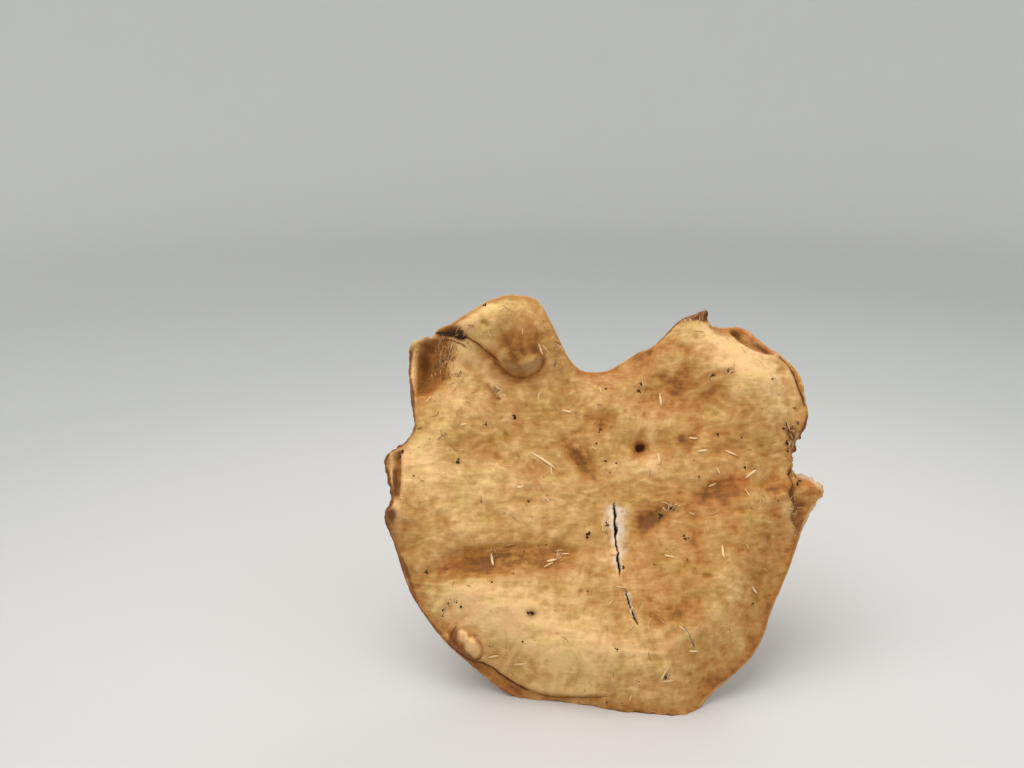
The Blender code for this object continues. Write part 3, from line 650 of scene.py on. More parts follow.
def disc_grid(cells):
    """A square grid laid over a disc: each point's share of the way out and its place along the edge."""
    half = cells // 2
    a, b = np.meshgrid(np.arange(-half, half + 1), np.arange(-half, half + 1), indexing="ij")
    reach = np.maximum(np.abs(a), np.abs(b))
    safe = np.maximum(reach, 1)
    place = np.where(b == -reach, 6.0 + a / safe, 0.0)
    place = np.where(a == -reach, 4.0 - b / safe, place)
    place = np.where(b == reach, 2.0 - a / safe, place)
    place = np.where(a == reach, b / safe, place)
    return (reach / half).ravel(), (place.ravel() % 8.0) / 8.0


def spread(cells, outline):
    """A disc grid's points over the outline, and its outer points in order along the edge."""
    share, place = disc_grid(cells)
    closed = np.vstack([outline, outline[:1]])
    steps = np.arange(len(closed))
    edge = np.stack([np.interp(place * len(outline), steps, closed[:, i]) for i in range(2)], axis=1)
    outer = np.flatnonzero(share == 1.0)
    order = np.argsort(np.round(place[outer] * 4 * cells).astype(int) % (4 * cells))
    return share[:, None] * edge, outer[order]


def grid_faces(cells):
    """The quads of a square grid."""
    index = np.arange((cells + 1) ** 2).reshape(cells + 1, cells + 1)
    return np.stack([index[:-1, :-1], index[1:, :-1], index[1:, 1:], index[:-1, 1:]], axis=-1).reshape(-1, 4)


def joined(first, second):
    """Quads from each ring of point numbers to the ring beside it."""
    corners = [np.roll(first, -1, axis=-1), first, second, np.roll(second, -1, axis=-1)]
    return np.stack(corners, axis=-1).reshape(-1, 4).tolist()


def fan(ring, tip):
    """Triangles from each side of a ring of point numbers to a tip."""
    ring = np.asarray(ring).tolist()
    return [[a, b, tip] for a, b in zip(ring, ring[1:] + ring[:1])]


def copies(faces, stride, count):
    """The faces of one shape, for a number of like shapes whose points follow each other."""
    return [[k * stride + corner for corner in face] for k in range(count) for face in faces]


def cap_surface():
    """Points and faces of the whole cap but its spines, as one closed mesh.

    Also how many points its skin has, and how many the underside after it.
    """
    outline, outward, torn = ragged_outline()
    drawn_in = outline - MARGIN_ROUND * outward
    flat_skin, skin_edge = spread(GRID, drawn_in)
    flat_under, under_edge = spread(UNDER_GRID, drawn_in[::2])
    skin = skin_place(flat_skin)
    skin[:, 2] = np.maximum(skin[:, 2], underside_level(flat_skin) + THINNEST_FLESH)
    under = np.column_stack([flat_under, underside_level(flat_under)])
    edge_level = under[np.append(under_edge, under_edge[0]), 2]
    low = np.interp(np.arange(OUTLINE_POINTS), np.arange(0, OUTLINE_POINTS + 1, 2), edge_level)
    upper, lower = skin[skin_edge], np.column_stack([drawn_in, low])
    rings = []
    for k in range(1, RIM_RINGS):
        turn = math.pi * (0.5 - k / RIM_RINGS)
        up = 0.5 + 0.5 * math.sin(turn)
        crumple = 0.35 * torn * SHAPE_NOISE.at(drawn_in + 9.0 * k, 1.3)
        ring = up * upper + (1.0 - up) * lower
        ring[:, :2] += (MARGIN_ROUND * math.cos(turn) + crumple)[:, None] * outward
        rings.append(ring)
    points = np.vstack([skin, under] + rings)
    faces = grid_faces(GRID).tolist() + (grid_faces(UNDER_GRID)[:, ::-1] + len(skin)).tolist()
    first = len(skin) + len(under)
    ring_index = first + np.arange(len(points) - first).reshape(-1, OUTLINE_POINTS)
    loops = np.vstack([skin_edge, ring_index])
    faces += joined(loops[:-1], loops[1:])
    a, b, d = loops[-1, ::2], loops[-1, 1::2], len(skin) + under_edge
    c, e = np.roll(a, -1), np.roll(d, -1)
    for corners in ([b, a, d], [c, b, e], [b, d, e]):
        faces += np.stack(corners, axis=1).tolist()
    return points, faces, len(skin), len(under)


def strokes(points, table, wobble):
    """Strongest of the soft lines of colour: a line, half width and strength."""
    total = np.zeros(len(points))
    for line, half_width, strength in table:
        away, share, _ = place_on_line(points, line)
        width = half_width * from_low(STROKE_ENDS, tapered(share)) * (1.0 + 0.6 * wobble)
        total = np.maximum(total, strength * smooth_step(1.6 - np.abs(away) / np.maximum(width, 0.1)))
    return total


def blurred(values, passes):
    """A square array of values, each mixed with its neighbours a number of times."""
    for _ in range(passes):
        for axis in (0, 1):
            padded = np.concatenate([values.take([0], axis), values, values.take([-1], axis)], axis)
            low, high = (padded.take(range(k, k + values.shape[axis]), axis) for k in (0, 2))
            values = 0.5 * values + 0.25 * (low + high)
    return values


def hollows(levels):
    """How far each point of the skin's grid lies below what is near it, from about -1 to 1."""
    grid = levels.reshape(GRID + 1, GRID + 1)
    fine, broad = (np.clip((blurred(grid, passes) - grid) / depth, -1.0, 1.0)
                   for passes, depth in ((FINE_BLUR, FINE_HOLLOW), (BROAD_BLUR, BROAD_HOLLOW)))
    return (FINE_SHARE * fine + (1.0 - FINE_SHARE) * broad).ravel()


def thin_lines(points):
    """Signed distance from the nearest thin line in half widths, and the line's strength.

    The distance is scaled to run from 0 to 1, with the line at 0.5.
    """
    wander, uneven = line_unevenness(points)
    signed = np.full(len(points), FAR_AWAY)
    strength = np.zeros(len(points))
    # The cracks' slits are thin dark lines as well, painted shade in them
    table = THIN_LINES + [(line, half_width, 0.28 - 0.18 * depth) for line, half_width, depth, _ in CRACKS]
    for line, half_width, power in table:
        away, share, _ = place_on_line(points, line)
        width = half_width * from_low(LINE_ENDS, tapered(share)) * uneven
        value = (away + wander * half_width) / width
        near = power * tapered(share) * smooth_step(3.0 - np.abs(away))
        closer = np.abs(value) < np.abs(signed)
        signed, strength = np.where(closer, value, signed), np.where(closer, near, strength)
    return 0.5 + 0.5 * signed / LINE_HALF_WIDTHS, strength


def skin_masks(points, gap, hollow):
    """Where the skin is pale, ochre, rusty or browned, where shade and dark lines are painted on it, and
    where it is torn open to its flesh.
    """
    wobble = TONE_NOISE.layers(points, 5.0, 3)
    fine = TONE_NOISE.layers(points + 60.0, 1.4, 2)
    # The tone takes in painted shade in hollows and painted light on rises, from the hollow values, besides
    # the zones
    tone = 0.5 + spots(points, OCHRE_AND_SHADE_ZONES) * (0.9 + 0.5 * wobble) + HOLLOW_SHADE_TONE * hollow
    tone -= spots(points, PALE_AND_LIT_ZONES) * (0.9 + 0.4 * wobble)
    rust = spots(points, RUST_ZONES) * (0.75 + 0.6 * wobble)
    rust = np.maximum(rust, strokes(points, RUST_STROKES, wobble))
    angle = np.degrees(np.arctan2(points[:, 1], points[:, 0]))
    width = np.interp(angle, *np.array(BROWNED, dtype=float).T, period=360.0)
    width *= 1.0 + 0.35 * wobble + 0.15 * fine
    browned = smooth_step(1.35 - gap / np.maximum(width, 0.15)) * np.clip(width / 1.1, 0.0, 1.0)
    # Painted shade in hollows, along folds and under overhangs
    shade = spots(points, SHADE_ZONES) * (1.0 + 0.25 * wobble)
    shade = np.maximum(shade, strokes(points, SHADE_STROKES, 0.5 * wobble))
    flesh = strokes(points, FLESH_STROKES, wobble)
    for line, _, _, bared in CRACKS:
        away, share, _ = place_on_line(points, line)
        edge = bared * from_low(CRACK_ENDS, tapered(share)) * (1.15 - 0.6 * share)
        edge *= 1.0 + 0.5 * wobble + 0.4 * fine
        flesh = np.maximum(flesh, np.exp(-(away / edge) ** 2) * tapered(share) * (1.1 - 0.38 * share))
    line, lined = thin_lines(points)
    return {"tone": tone, "rust": rust, "browned": browned, "shade": shade,
            "dark": strokes(points, DARK_STROKES, 0.5 * wobble), "flesh": flesh, "line": line, "lined": lined}


def add_object(name, data):
    """Puts an object in the scene."""
    thing = bpy.data.objects.new(name, data)
    bpy.context.scene.collection.objects.link(thing)
    return thing


def add_mesh(name, points, faces, material):
    """Puts a smooth-shaded mesh in the scene."""
    mesh = bpy.data.meshes.new(name)
    mesh.from_pydata(points, [], faces)
    mesh.shade_smooth()
    mesh.materials.append(material)
    return add_object(name, mesh)


def add_piece(name, points, faces, material, values, replaced=None):
    """Adds a piece that rides on the mushroom's one body, with named values at its points for the material.

    Values are numbers from 0 to 1, or places in millimetres.
    """
    piece = add_mesh(name, to_world(points).tolist(), faces, material)
    for key, value in values.items():
        if value.ndim == 1:
            layer = piece.data.attributes.new(key, "FLOAT", "POINT")
            layer.data.foreach_set("value", np.clip(value, 0.0, 1.0).astype(np.float32))
        else:
            layer = piece.data.attributes.new(key, "FLOAT_VECTOR", "POINT")
            layer.data.foreach_set("vector", value.astype(np.float32).ravel())
    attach(piece, "root")
    if replaced:
        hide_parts(replaced)


# Colours, as linear red, green and blue with alpha
CREAM = (0.86, 0.55, 0.24, 1.0)
TAN = (0.58, 0.315, 0.098, 1.0)
OCHRE = (0.425, 0.170, 0.030, 1.0)
UMBER = (0.22, 0.080, 0.014, 1.0)
OLIVE_TINT = (0.94, 0.975, 0.86, 1.0)
ROSE_TINT = (1.0, 0.945, 0.98, 1.0)
# A soft brown for painted shade in hollows and creases, which is also the pocket's own brown
SHADE_AND_POCKET_BROWN = (0.17, 0.052, 0.010, 1.0)
RIM_BROWN = (0.185, 0.060, 0.015, 1.0)
RIM_ORANGE = (0.42, 0.165, 0.040, 1.0)
RUST = (0.57, 0.180, 0.038, 1.0)
# A dark brown for painted shade in holes, slits and the stem's tunnels, and for the darkest part of the
# browned margin
SHADE_BROWN = (0.060, 0.028, 0.012, 1.0)
FLESH_WHITE = (0.80, 0.69, 0.56, 1.0)
FLECK = (0.13, 0.055, 0.018, 1.0)
SPINE_CREAM = (0.92, 0.76, 0.55, 1.0)
SPINE_PEACH = (0.88, 0.63, 0.37, 1.0)
SPINE_OCHRE = (0.70, 0.40, 0.16, 1.0)
SPINE_BROWN = (0.22, 0.085, 0.025, 1.0)
STEM_WHITE = (0.85, 0.76, 0.60, 1.0)
STEM_CREAM = (0.78, 0.60, 0.38, 1.0)
STEM_OCHRE = (0.55, 0.29, 0.10, 1.0)
STEM_BROWN = (0.22, 0.09, 0.03, 1.0)
SOIL_BROWN = (0.075, 0.035, 0.016, 1.0)
SOIL_BLACK = (0.035, 0.018, 0.009, 1.0)
STRAW_BRIGHT = (0.92, 0.66, 0.35, 1.0)
STRAW_PALE = (0.79, 0.50, 0.22, 1.0)
STRAW_TAN = (0.52, 0.29, 0.10, 1.0)
STRAW_BROWN = (0.20, 0.09, 0.03, 1.0)
FLOOR_PALE = (0.655, 0.64, 0.628, 1.0)
BACKDROP_GREY = (0.53, 0.54, 0.53, 1.0)
WALL_GREY = (0.68, 0.69, 0.675, 1.0)
SURROUND = (0.80, 0.81, 0.82, 1.0)
NO_SUBSURFACE = (0.1, 0.1, 0.1)

# Distances in metres from the middle of the floor over which its colour turns
GREY_FROM_TO = (0.12, 0.36)
WALL_FROM_TO = (0.50, 1.05)


class Nodes:
    """Short ways to build one material's node tree."""

    def __init__(self, name):
        self.material = bpy.data.materials.new(name)
        self.material.use_nodes = True
        self.tree = self.material.node_tree
        self.shader = self.tree.nodes["Principled BSDF"]
        self.place = self.add("ShaderNodeTexCoord").outputs["Object"]

    def add(self, kind, **settings):
        """A new node with the given settings."""
        node = self.tree.nodes.new(kind)
        for key, value in settings.items():
            setattr(node, key, value)
        return node

    def feed(self, socket, value):
        """Links an output to the socket, or sets a plain value there."""
        if isinstance(value, bpy.types.NodeSocket):
            self.tree.links.new(value, socket)
        else:
            socket.default_value = value

    def stored(self, name, output="Fac"):
        """The value that the mesh stores under a name."""
        return self.add("ShaderNodeAttribute", attribute_name=name).outputs[output]

    def noise(self, size_mm, detail=4.0, rough=0.55, stretch=None):
        """Noise with lumps of about the given size, from 0 to 1. Stretched noise follows the stored place."""
        node = self.add("ShaderNodeTexNoise")
        if stretch is None:
            self.feed(node.inputs["Vector"], self.place)
            node.inputs["Scale"].default_value = 1.0 / (MM * size_mm)
        else:
            scaled = self.add("ShaderNodeMapping")
            scaled.inputs["Scale"].default_value = stretch
            self.feed(scaled.inputs["Vector"], self.stored("place", "Vector"))
            self.feed(node.inputs["Vector"], scaled.outputs["Vector"])
            node.inputs["Scale"].default_value = 1.0 / size_mm
        node.inputs["Detail"].default_value = detail
        node.inputs["Roughness"].default_value = rough
        return node.outputs["Fac"]

    def cells(self, size_mm):
        """Distance from scattered points about the given distance apart, from 0 up."""
        node = self.add("ShaderNodeTexVoronoi")
        self.feed(node.inputs["Vector"], self.place)
        node.inputs["Scale"].default_value = 1.0 / (MM * size_mm)
        return node.outputs["Distance"]

    def math(self, operation, *values):
        """The result of one operation on sockets or numbers."""
        node = self.add("ShaderNodeMath", operation=operation)
        for socket, value in zip(node.inputs, values):
            self.feed(socket, value)
        return node.outputs["Value"]

    def times(self, first, second):
        """Two values multiplied."""
        return self.math("MULTIPLY", first, second)

    def total(self, start, *terms):
        """The start and each value times its amount, added up."""
        for amount, value in terms:
            start = self.math("MULTIPLY_ADD", value, amount, start)
        return start

    def vary(self, value, pattern, amount):
        """The value, raised and lowered by half of the amount where a pattern from 0 to 1 is high and low."""
        return self.total(self.math("SUBTRACT", value, 0.5 * amount), (amount, pattern))

    def rise(self, value, low, high):
        """Smoothly from 0 at the low value to 1 at the high one."""
        node = self.add("ShaderNodeMapRange", interpolation_type="SMOOTHSTEP")
        for key, number in (("Value", value), ("From Min", low), ("From Max", high)):
            self.feed(node.inputs[key], number)
        return node.outputs["Result"]

    def ramp(self, value, *stops):
        """A colour ramp through (position, colour) stops."""
        node = self.add("ShaderNodeValToRGB")
        elements = node.color_ramp.elements
        while len(elements) < len(stops):
            elements.new(0.5)
        for element, (position, colour) in zip(elements, stops):
            element.position = position
            element.color = colour
        self.feed(node.inputs["Fac"], value)
        return node.outputs["Color"]

    def mix(self, share, first, second, blend="MIX"):
        """The first colour at a share of 0, and blended with the second at a share of 1."""
        node = self.add("ShaderNodeMix", data_type="RGBA", blend_type=blend)
        for number, value in ((0, share), (6, first), (7, second)):
            self.feed(node.inputs[number], value)
        return node.outputs[2]

    def bump(self, height, depth_mm, strength=1.0, below=None):
        """The surface's direction with a fine relief, on top of a broader one below it."""
        node = self.add("ShaderNodeBump")
        node.inputs["Strength"].default_value = strength
        node.inputs["Distance"].default_value = depth_mm * MM
        self.feed(node.inputs["Height"], height)
        if below is not None:
            self.feed(node.inputs["Normal"], below)
        return node.outputs["Normal"]

    def finish(self, colour, roughness, normal, subsurface=0.0, radius=NO_SUBSURFACE, specular=0.35):
        """Feeds the shader and returns the finished material."""
        self.feed(self.shader.inputs["Base Color"], colour)
        self.feed(self.shader.inputs["Roughness"], roughness)
        self.feed(self.shader.inputs["Normal"], normal)
        self.shader.inputs["Subsurface Weight"].default_value = subsurface
        self.shader.inputs["Subsurface Radius"].default_value = radius
        self.shader.inputs["Subsurface Scale"].default_value = MM
        self.shader.inputs["Specular IOR Level"].default_value = specular
        return self.material


def plain_skin(n, broad, mottle, grain, streak):
    """Colour of whole skin by its tone, which also carries painted light and shade, tinted in patches, with
    bruises, rust and dark flecks.
    """
    tone = n.stored("tone")
    for pattern, amount in ((broad, 0.50), (mottle, 0.37), (grain, 0.30), (streak, 0.42)):
        tone = n.vary(tone, pattern, amount)
    colour = n.ramp(tone, (0.06, CREAM), (0.46, TAN), (0.78, OCHRE), (1.0, UMBER))
    hue = n.noise(8.0, 3.0, 0.55)
    colour = n.mix(n.rise(hue, 0.50, 0.64), colour, OLIVE_TINT, "MULTIPLY")
    colour = n.mix(n.rise(hue, 0.50, 0.36), colour, ROSE_TINT, "MULTIPLY")
    bruise = n.rise(n.noise(4.4, 4.0, 0.66), 0.57, 0.70)
    colour = n.mix(n.times(bruise, 0.36), colour, OCHRE)
    rust = n.times(n.stored("rust"), n.rise(mottle, 0.30, 0.58))
    colour = n.mix(n.times(rust, 0.88), colour, RUST)
    flecks = n.times(n.rise(n.cells(2.6), 0.15, 0.06), n.rise(n.noise(5.0, 3.0, 0.6), 0.52, 0.66))
    return n.mix(n.times(flecks, 0.7), colour, FLECK)


def bared_flesh_and_underside(n, colour, broad, mottle):
    """The colour with pale flesh where the skin is torn open, and with the underside's beyond the margin."""
    flesh = n.rise(n.total(n.stored("flesh"), (0.8, mottle)), 0.55, 1.45)
    colour = n.mix(n.times(flesh, 0.92), colour, n.mix(n.rise(mottle, 0.45, 0.70), FLESH_WHITE, CREAM))
    below = n.ramp(n.total(0.0, (0.4, broad), (0.6, mottle)),
                   (0.30, SPINE_CREAM), (0.55, SPINE_PEACH), (0.80, SPINE_OCHRE))
    return n.mix(n.rise(n.stored("under"), 0.55, 0.95), colour, below)


def browned_margin(n, colour, mottle):
    """The colour with an orange to dark brown margin."""
    browned = n.vary(n.stored("browned"), mottle, 0.5)
    rim = n.ramp(n.total(0.0, (0.60, browned), (0.5, n.noise(1.7, 4.0, 0.6))),
                 (0.40, RIM_ORANGE), (0.85, RIM_BROWN), (1.0, SHADE_BROWN))
    return n.mix(n.rise(browned, 0.15, 0.80), colour, rim)


def cap_material():
    """The cap's skin, its browned and torn margin, and the flesh in its cracks, with painted shade in
    hollows, creases and slits.
    """
    n = Nodes("mushroom_skin")
    broad = n.noise(11.0, 4.0, 0.6)
    mottle = n.noise(3.8, 6.0, 0.64)
    grain = n.noise(0.75, 4.0, 0.66)
    streak = n.noise(1.0, 3.0, 0.6, stretch=(0.22, 1.0, 1.0))
    colour = bared_flesh_and_underside(n, plain_skin(n, broad, mottle, grain, streak), broad, mottle)
    # Painted shade in hollows, along folds and under overhangs, from the stored shade
    shade = n.vary(n.stored("shade"), mottle, 0.3)
    colour = n.mix(n.rise(shade, 0.10, 1.05), colour, SHADE_AND_POCKET_BROWN)
    colour = browned_margin(n, colour, mottle)
    # Painted shade in creases, slits and small holes, from the thin lines and the dark strokes, with a few
    # dark streaks of the skin
    across = n.times(n.math("SUBTRACT", n.stored("line"), 0.5), 2.0 * LINE_HALF_WIDTHS)
    across = n.math("ABSOLUTE", n.vary(across, grain, 1.6))
    thin = n.times(n.rise(across, 1.5, 0.6), n.stored("lined"))
    dark = n.math("MAXIMUM", n.vary(n.stored("dark"), grain, 0.4), thin)
    colour = n.mix(n.rise(dark, 0.10, 0.60), colour, SHADE_AND_POCKET_BROWN)
    colour = n.mix(n.times(n.rise(dark, 0.50, 1.0), 0.92), colour, SHADE_BROWN)
    height = n.total(0.0, (0.9, mottle), (0.45, grain), (0.45, streak), (-1.2, thin))
    normal = n.bump(n.noise(0.22, 2.0, 0.6), 0.05, 0.5, n.bump(height, 0.46, 0.9))
    smooth = n.rise(n.math("ADD", mottle, n.stored("dark")), 2.2, 0.1)
    return n.finish(colour, n.total(0.52, (0.22, smooth)), normal, 0.08, (1.4, 0.7, 0.3))


def spine_material():
    """Cream to orange-tipped spines, stained in patches and browned near the margin."""
    n = Nodes("mushroom_spines")
    stain = n.rise(n.noise(13.0, 4.0, 0.6), 0.50, 0.70)
    value = n.total(-0.16, (0.26, n.stored("tip")), (0.30, n.stored("shade")), (0.34, stain),
                    (0.24, n.noise(3.0, 3.0, 0.6)), (0.42, n.stored("edge")))
    colour = n.ramp(value, (0.06, SPINE_CREAM), (0.40, SPINE_PEACH), (0.74, SPINE_OCHRE), (1.0, SPINE_BROWN))
    normal = n.bump(n.noise(0.35, 3.0, 0.6), 0.06, 0.5)
    return n.finish(colour, 0.62, normal, 0.16, (1.4, 0.75, 0.35))


def stem_material():
    """Off-white stem flesh with ochre stains, a soiled foot and a fibrous cut end, with painted shade in its
    tunnels.
    """
    n = Nodes("mushroom_stem")
    stain = n.rise(n.noise(9.0, 5.0, 0.62), 0.46, 0.68)
    fibre = n.noise(1.0, 4.0, 0.6, stretch=(1.1, 1.1, 0.11))
    grain = n.noise(0.8, 4.0, 0.6)
    value = n.total(-0.20, (0.42, stain), (0.40, fibre), (0.24, grain), (0.34, n.stored("foot")))
    colour = n.ramp(value, (0.0, STEM_WHITE), (0.30, STEM_CREAM), (0.62, STEM_OCHRE), (1.0, STEM_BROWN))
    pith = n.ramp(n.total(0.0, (0.5, n.noise(4.0)), (0.6, grain)),
                  (0.35, STEM_WHITE), (0.62, STEM_CREAM), (0.86, STEM_OCHRE))
    colour = n.mix(n.stored("cut"), colour, pith)
    soiled = n.times(n.rise(n.noise(1.6, 5.0, 0.7), 0.50, 0.64), n.stored("soiled"))
    colour = n.mix(n.times(soiled, 0.85), colour, SOIL_BROWN)
    # Painted shade in the tunnels of the cut end
    colour = n.mix(n.stored("dark"), colour, SHADE_BROWN)
    normal = n.bump(n.total(grain, (0.8, fibre)), 0.30, 0.7)
    normal = n.bump(n.noise(0.25, 2.0, 0.6), 0.05, 0.5, normal)
    return n.finish(colour, 0.70, normal, 0.12, (1.6, 0.9, 0.45))


def straw_material():
    """Bits of straw and dry grass, each with its own shade."""
    n = Nodes("straw")
    value = n.total(-0.17, (1.0, n.stored("shade")), (0.35, n.noise(0.7, 3.0, 0.6)))
    colour = n.ramp(value, (0.0, STRAW_BROWN), (0.35, STRAW_TAN), (0.75, STRAW_PALE), (1.0, STRAW_BRIGHT))
    normal = n.bump(n.noise(0.18, 2.0, 0.6), 0.05, 0.6)
    return n.finish(colour, 0.5, normal, 0.04, (0.6, 0.4, 0.2), 0.4)


def soil_material():
    """Crumbs of soil and of dried mushroom, each with its own shade."""
    n = Nodes("soil")
    value = n.vary(n.stored("shade"), n.noise(0.3, 4.0, 0.7), 0.30)
    colour = n.ramp(value, (0.0, SOIL_BLACK), (0.35, SOIL_BROWN), (0.68, RIM_ORANGE), (0.95, TAN))
    return n.finish(colour, 0.92, n.bump(n.noise(0.22, 4.0, 0.7), 0.15, 0.9), specular=0.2)


def stage_material():
    """Pale floor that turns to a greyer backdrop away from the mushroom."""
    n = Nodes("stage")
    apart = n.add("ShaderNodeVectorMath", operation="LENGTH")
    n.feed(apart.inputs[0], n.place)
    away = n.vary(n.rise(apart.outputs["Value"], *GREY_FROM_TO), n.noise(60.0, 3.0, 0.5), 0.03)
    colour = n.mix(away, FLOOR_PALE, BACKDROP_GREY)
    colour = n.mix(n.rise(apart.outputs["Value"], *WALL_FROM_TO), colour, WALL_GREY)
    return n.finish(colour, 0.55, n.bump(n.noise(1.5, 3.0, 0.5), 0.02, 0.3), specular=0.3)


def add_cap(material):
    """The cap with its skin, margin and underside, in place of the plain solid."""
    points, faces, skin_count, under_count = cap_surface()
    first_ring = skin_count + under_count
    under = np.zeros(len(points))
    under[skin_count:first_ring] = 1.0
    under[first_ring:] = (1.0 + np.arange(len(points) - first_ring) // OUTLINE_POINTS) / RIM_RINGS
    hollow = np.zeros(len(points))
    hollow[:skin_count] = hollows(points[:skin_count, 2])
    masks = skin_masks(points[:, :2], margin_effect(points[:, :2])[0], hollow)
    for name in ("dark", "lined", "flesh", "rust", "shade"):
        masks[name] = masks[name] * (1.0 - under)
    values = {**masks, "under": under, "place": points}
    add_piece("cap_surface", points, faces, material, values, "cap")


# Spines, with rings of (share of the length, share of the radius)
SPINE_PITCH = 1.25
SPINE_JITTER = 0.30
SPINE_LENGTH = 5.8
SPINE_BARE_RIM = 0.9
SPINE_FULL_AT = 15.0
SPINE_SHORTEST = 0.35
SPINE_RADIUS = 0.34
SPINE_SIDES = 5
SPINE_RINGS = [(0.0, 1.35), (0.12, 1.0), (0.5, 0.80), (0.84, 0.48)]
SPINE_SUNK = 0.35
SPINE_FLOOR_GAP = 0.5
SPINE_SEED = 21
BROKEN_SHARE = 0.05
BROKEN_TO = (0.25, 0.55)
# Shares of the full length at the rim and at the neck and of the full radius in the shortest spine,
# and the ranges over which length and radius vary at random
LENGTH_AT_RIM = 0.16
LENGTH_AT_NECK = 0.35
RADIUS_OF_SHORTEST = 0.62
LENGTH_RANGE = (0.78, 1.06)
RADIUS_RANGE = (0.8, 1.2)
# Direction of a spine: amounts of the underside's normal and of straight down, lean in matted patches,
# lean away from the stem, spread of the lean, and how much of the lean bends the spine
NORMAL_IN_SPINE = 0.35
DOWN_IN_SPINE = 0.75
MATTED_LEAN = 0.55
MATTED_PATCH = 15.0
LEAN_OUT = 0.16
LEAN_SPREAD = 0.09
BEND_OF_LEAN = 0.30
BEND_SPREAD = 0.05
# Spines on the neck: how many, how far down the lowest go in mm, and how much that varies round the neck
NECK_SPINES = 420
NECK_SPINES_DOWN = 3.6
NECK_SPINES_WAVE = 2.2
NECK_SPINE_LENGTHS = (1.3, 2.6)
NECK_SPINE_RADII = (0.6, 0.9)


def slope_of(level, points, step=0.5):
    """Slope of a height over the plane, towards u and towards v."""
    rises = [level(points + shift) - level(points - shift) for shift in step * np.eye(2)]
    return np.stack(rises, axis=1) / (2.0 * step)


def tapered_spines(roots, directions, bends, lengths, radii):
    """Points, faces and share of the way to the tip of many curved, tapered spines."""
    share, width = np.array(SPINE_RINGS).T
    side = unit(np.cross(directions, np.array([0.2, 1.0, 0.3])))
    across = np.cross(directions, side)
    turn = np.linspace(0.0, FULL_TURN, SPINE_SIDES, endpoint=False)
    circle = np.cos(turn)[:, None] * side[:, None, :] + np.sin(turn)[:, None] * across[:, None, :]
    along = share[None, :, None] * directions[:, None, :] + share[None, :, None] ** 2 * bends[:, None, :]
    axis = roots[:, None, :] + lengths[:, None, None] * along
    rings = axis[:, :, None, :] + (radii[:, None] * width[None, :])[:, :, None, None] * circle[:, None, :, :]
    tips = roots + lengths[:, None] * (directions + bends)
    points = np.concatenate([rings.reshape(len(roots), -1, 3), tips[:, None, :]], axis=1)
    index = np.arange(len(share) * SPINE_SIDES).reshape(-1, SPINE_SIDES)
    one = [index[0][::-1].tolist()] + joined(index[1:], index[:-1]) + fan(index[-1], index.size)
    way = np.tile(np.append(np.repeat(share, SPINE_SIDES), 1.0), len(roots))
    return points.reshape(-1, 3), copies(one, points.shape[1], len(roots)), way


def cap_spine_roots(rng):
    """Scattered roots of the spines over the underside, outside the stem."""
    reach = max(radius for _, radius, _ in MARGIN) + SPINE_PITCH
    rows = np.arange(-reach, reach, SPINE_PITCH * math.sqrt(0.75))
    columns = np.arange(-reach, reach, SPINE_PITCH)
    u = columns[None, :] + 0.5 * SPINE_PITCH * (np.arange(len(rows)) % 2)[:, None]
    v = np.repeat(rows[:, None], len(columns), axis=1)
    flat = np.column_stack([u.ravel(), v.ravel()])
    flat = flat + rng.normal(0.0, SPINE_JITTER * SPINE_PITCH, flat.shape)
    flat = flat[inside_margin(flat)]
    gap, _ = margin_effect(flat)
    from_stem = np.hypot(flat[:, 0] - STEM_U, flat[:, 1] - STEM_V)
    kept = (gap > SPINE_BARE_RIM) & (from_stem > NECK_RADIUS + 0.3)
    return flat[kept], gap[kept], from_stem[kept]


def cap_spines(rng):
    """Roots, directions, bends, lengths, radii, shades and nearness to the edge of the underside's spines."""
    flat, gap, from_stem = cap_spine_roots(rng)
    count = len(flat)
    level = underside_level(flat)
    normal = unit(np.column_stack([slope_of(underside_level, flat), np.full(count, -1.0)]))
    away = flat - np.array([STEM_U, STEM_V])
    heading = FULL_TURN * SHAPE_NOISE.at(flat + 300.0, 19.0)
    matted = smooth_step((SHAPE_NOISE.layers(flat + 400.0, MATTED_PATCH, 2) - 0.05) / 0.5)
    lean = MATTED_LEAN * matted[:, None] * np.stack([np.cos(heading), np.sin(heading)], axis=1)
    lean = lean + LEAN_OUT * away / (from_stem[:, None] + 1.0) + rng.normal(0.0, LEAN_SPREAD, (count, 2))
    directions = unit(NORMAL_IN_SPINE * normal + np.column_stack([lean, np.full(count, -DOWN_IN_SPINE)]))
    bends = BEND_OF_LEAN * lean + rng.normal(0.0, BEND_SPREAD, (count, 2))
    bends = np.column_stack([bends, np.zeros(count)])
    further_in = smooth_step((gap - SPINE_BARE_RIM) / (SPINE_FULL_AT - SPINE_BARE_RIM))
    length = SPINE_LENGTH * from_low(LENGTH_AT_RIM, further_in)
    length *= from_low(LENGTH_AT_NECK, beyond_neck(from_stem))
    length *= rng.uniform(*LENGTH_RANGE, count) * (1.0 + 0.18 * SHAPE_NOISE.layers(flat + 500.0, 9.0, 2))
    broken = rng.random(count) < BROKEN_SHARE
    length = np.where(broken, length * rng.uniform(*BROKEN_TO, count), length)
    up = np.array([0.0, math.sin(CAP_LEAN), math.cos(CAP_LEAN)])
    height = CAP_CENTRE[2] + np.column_stack([flat, level]) @ up
    room = np.clip(height - PRESS_DEPTH - SPINE_FLOOR_GAP, 0.0, None) / np.maximum(-directions @ up, 0.2)
    length = np.minimum(length, room)
    radii = SPINE_RADIUS * rng.uniform(*RADIUS_RANGE, count)
    radii *= from_low(RADIUS_OF_SHORTEST, np.clip(length / SPINE_LENGTH, 0.0, 1.0))
    edge = smooth_step(1.0 - gap / (4.0 + 2.0 * SHAPE_NOISE.at(flat, 8.0)))
    roots = np.column_stack([flat, level + SPINE_SUNK])
    parts = (roots, directions, bends, length, radii, rng.random(count), edge)
    return [part[length > SPINE_SHORTEST] for part in parts]


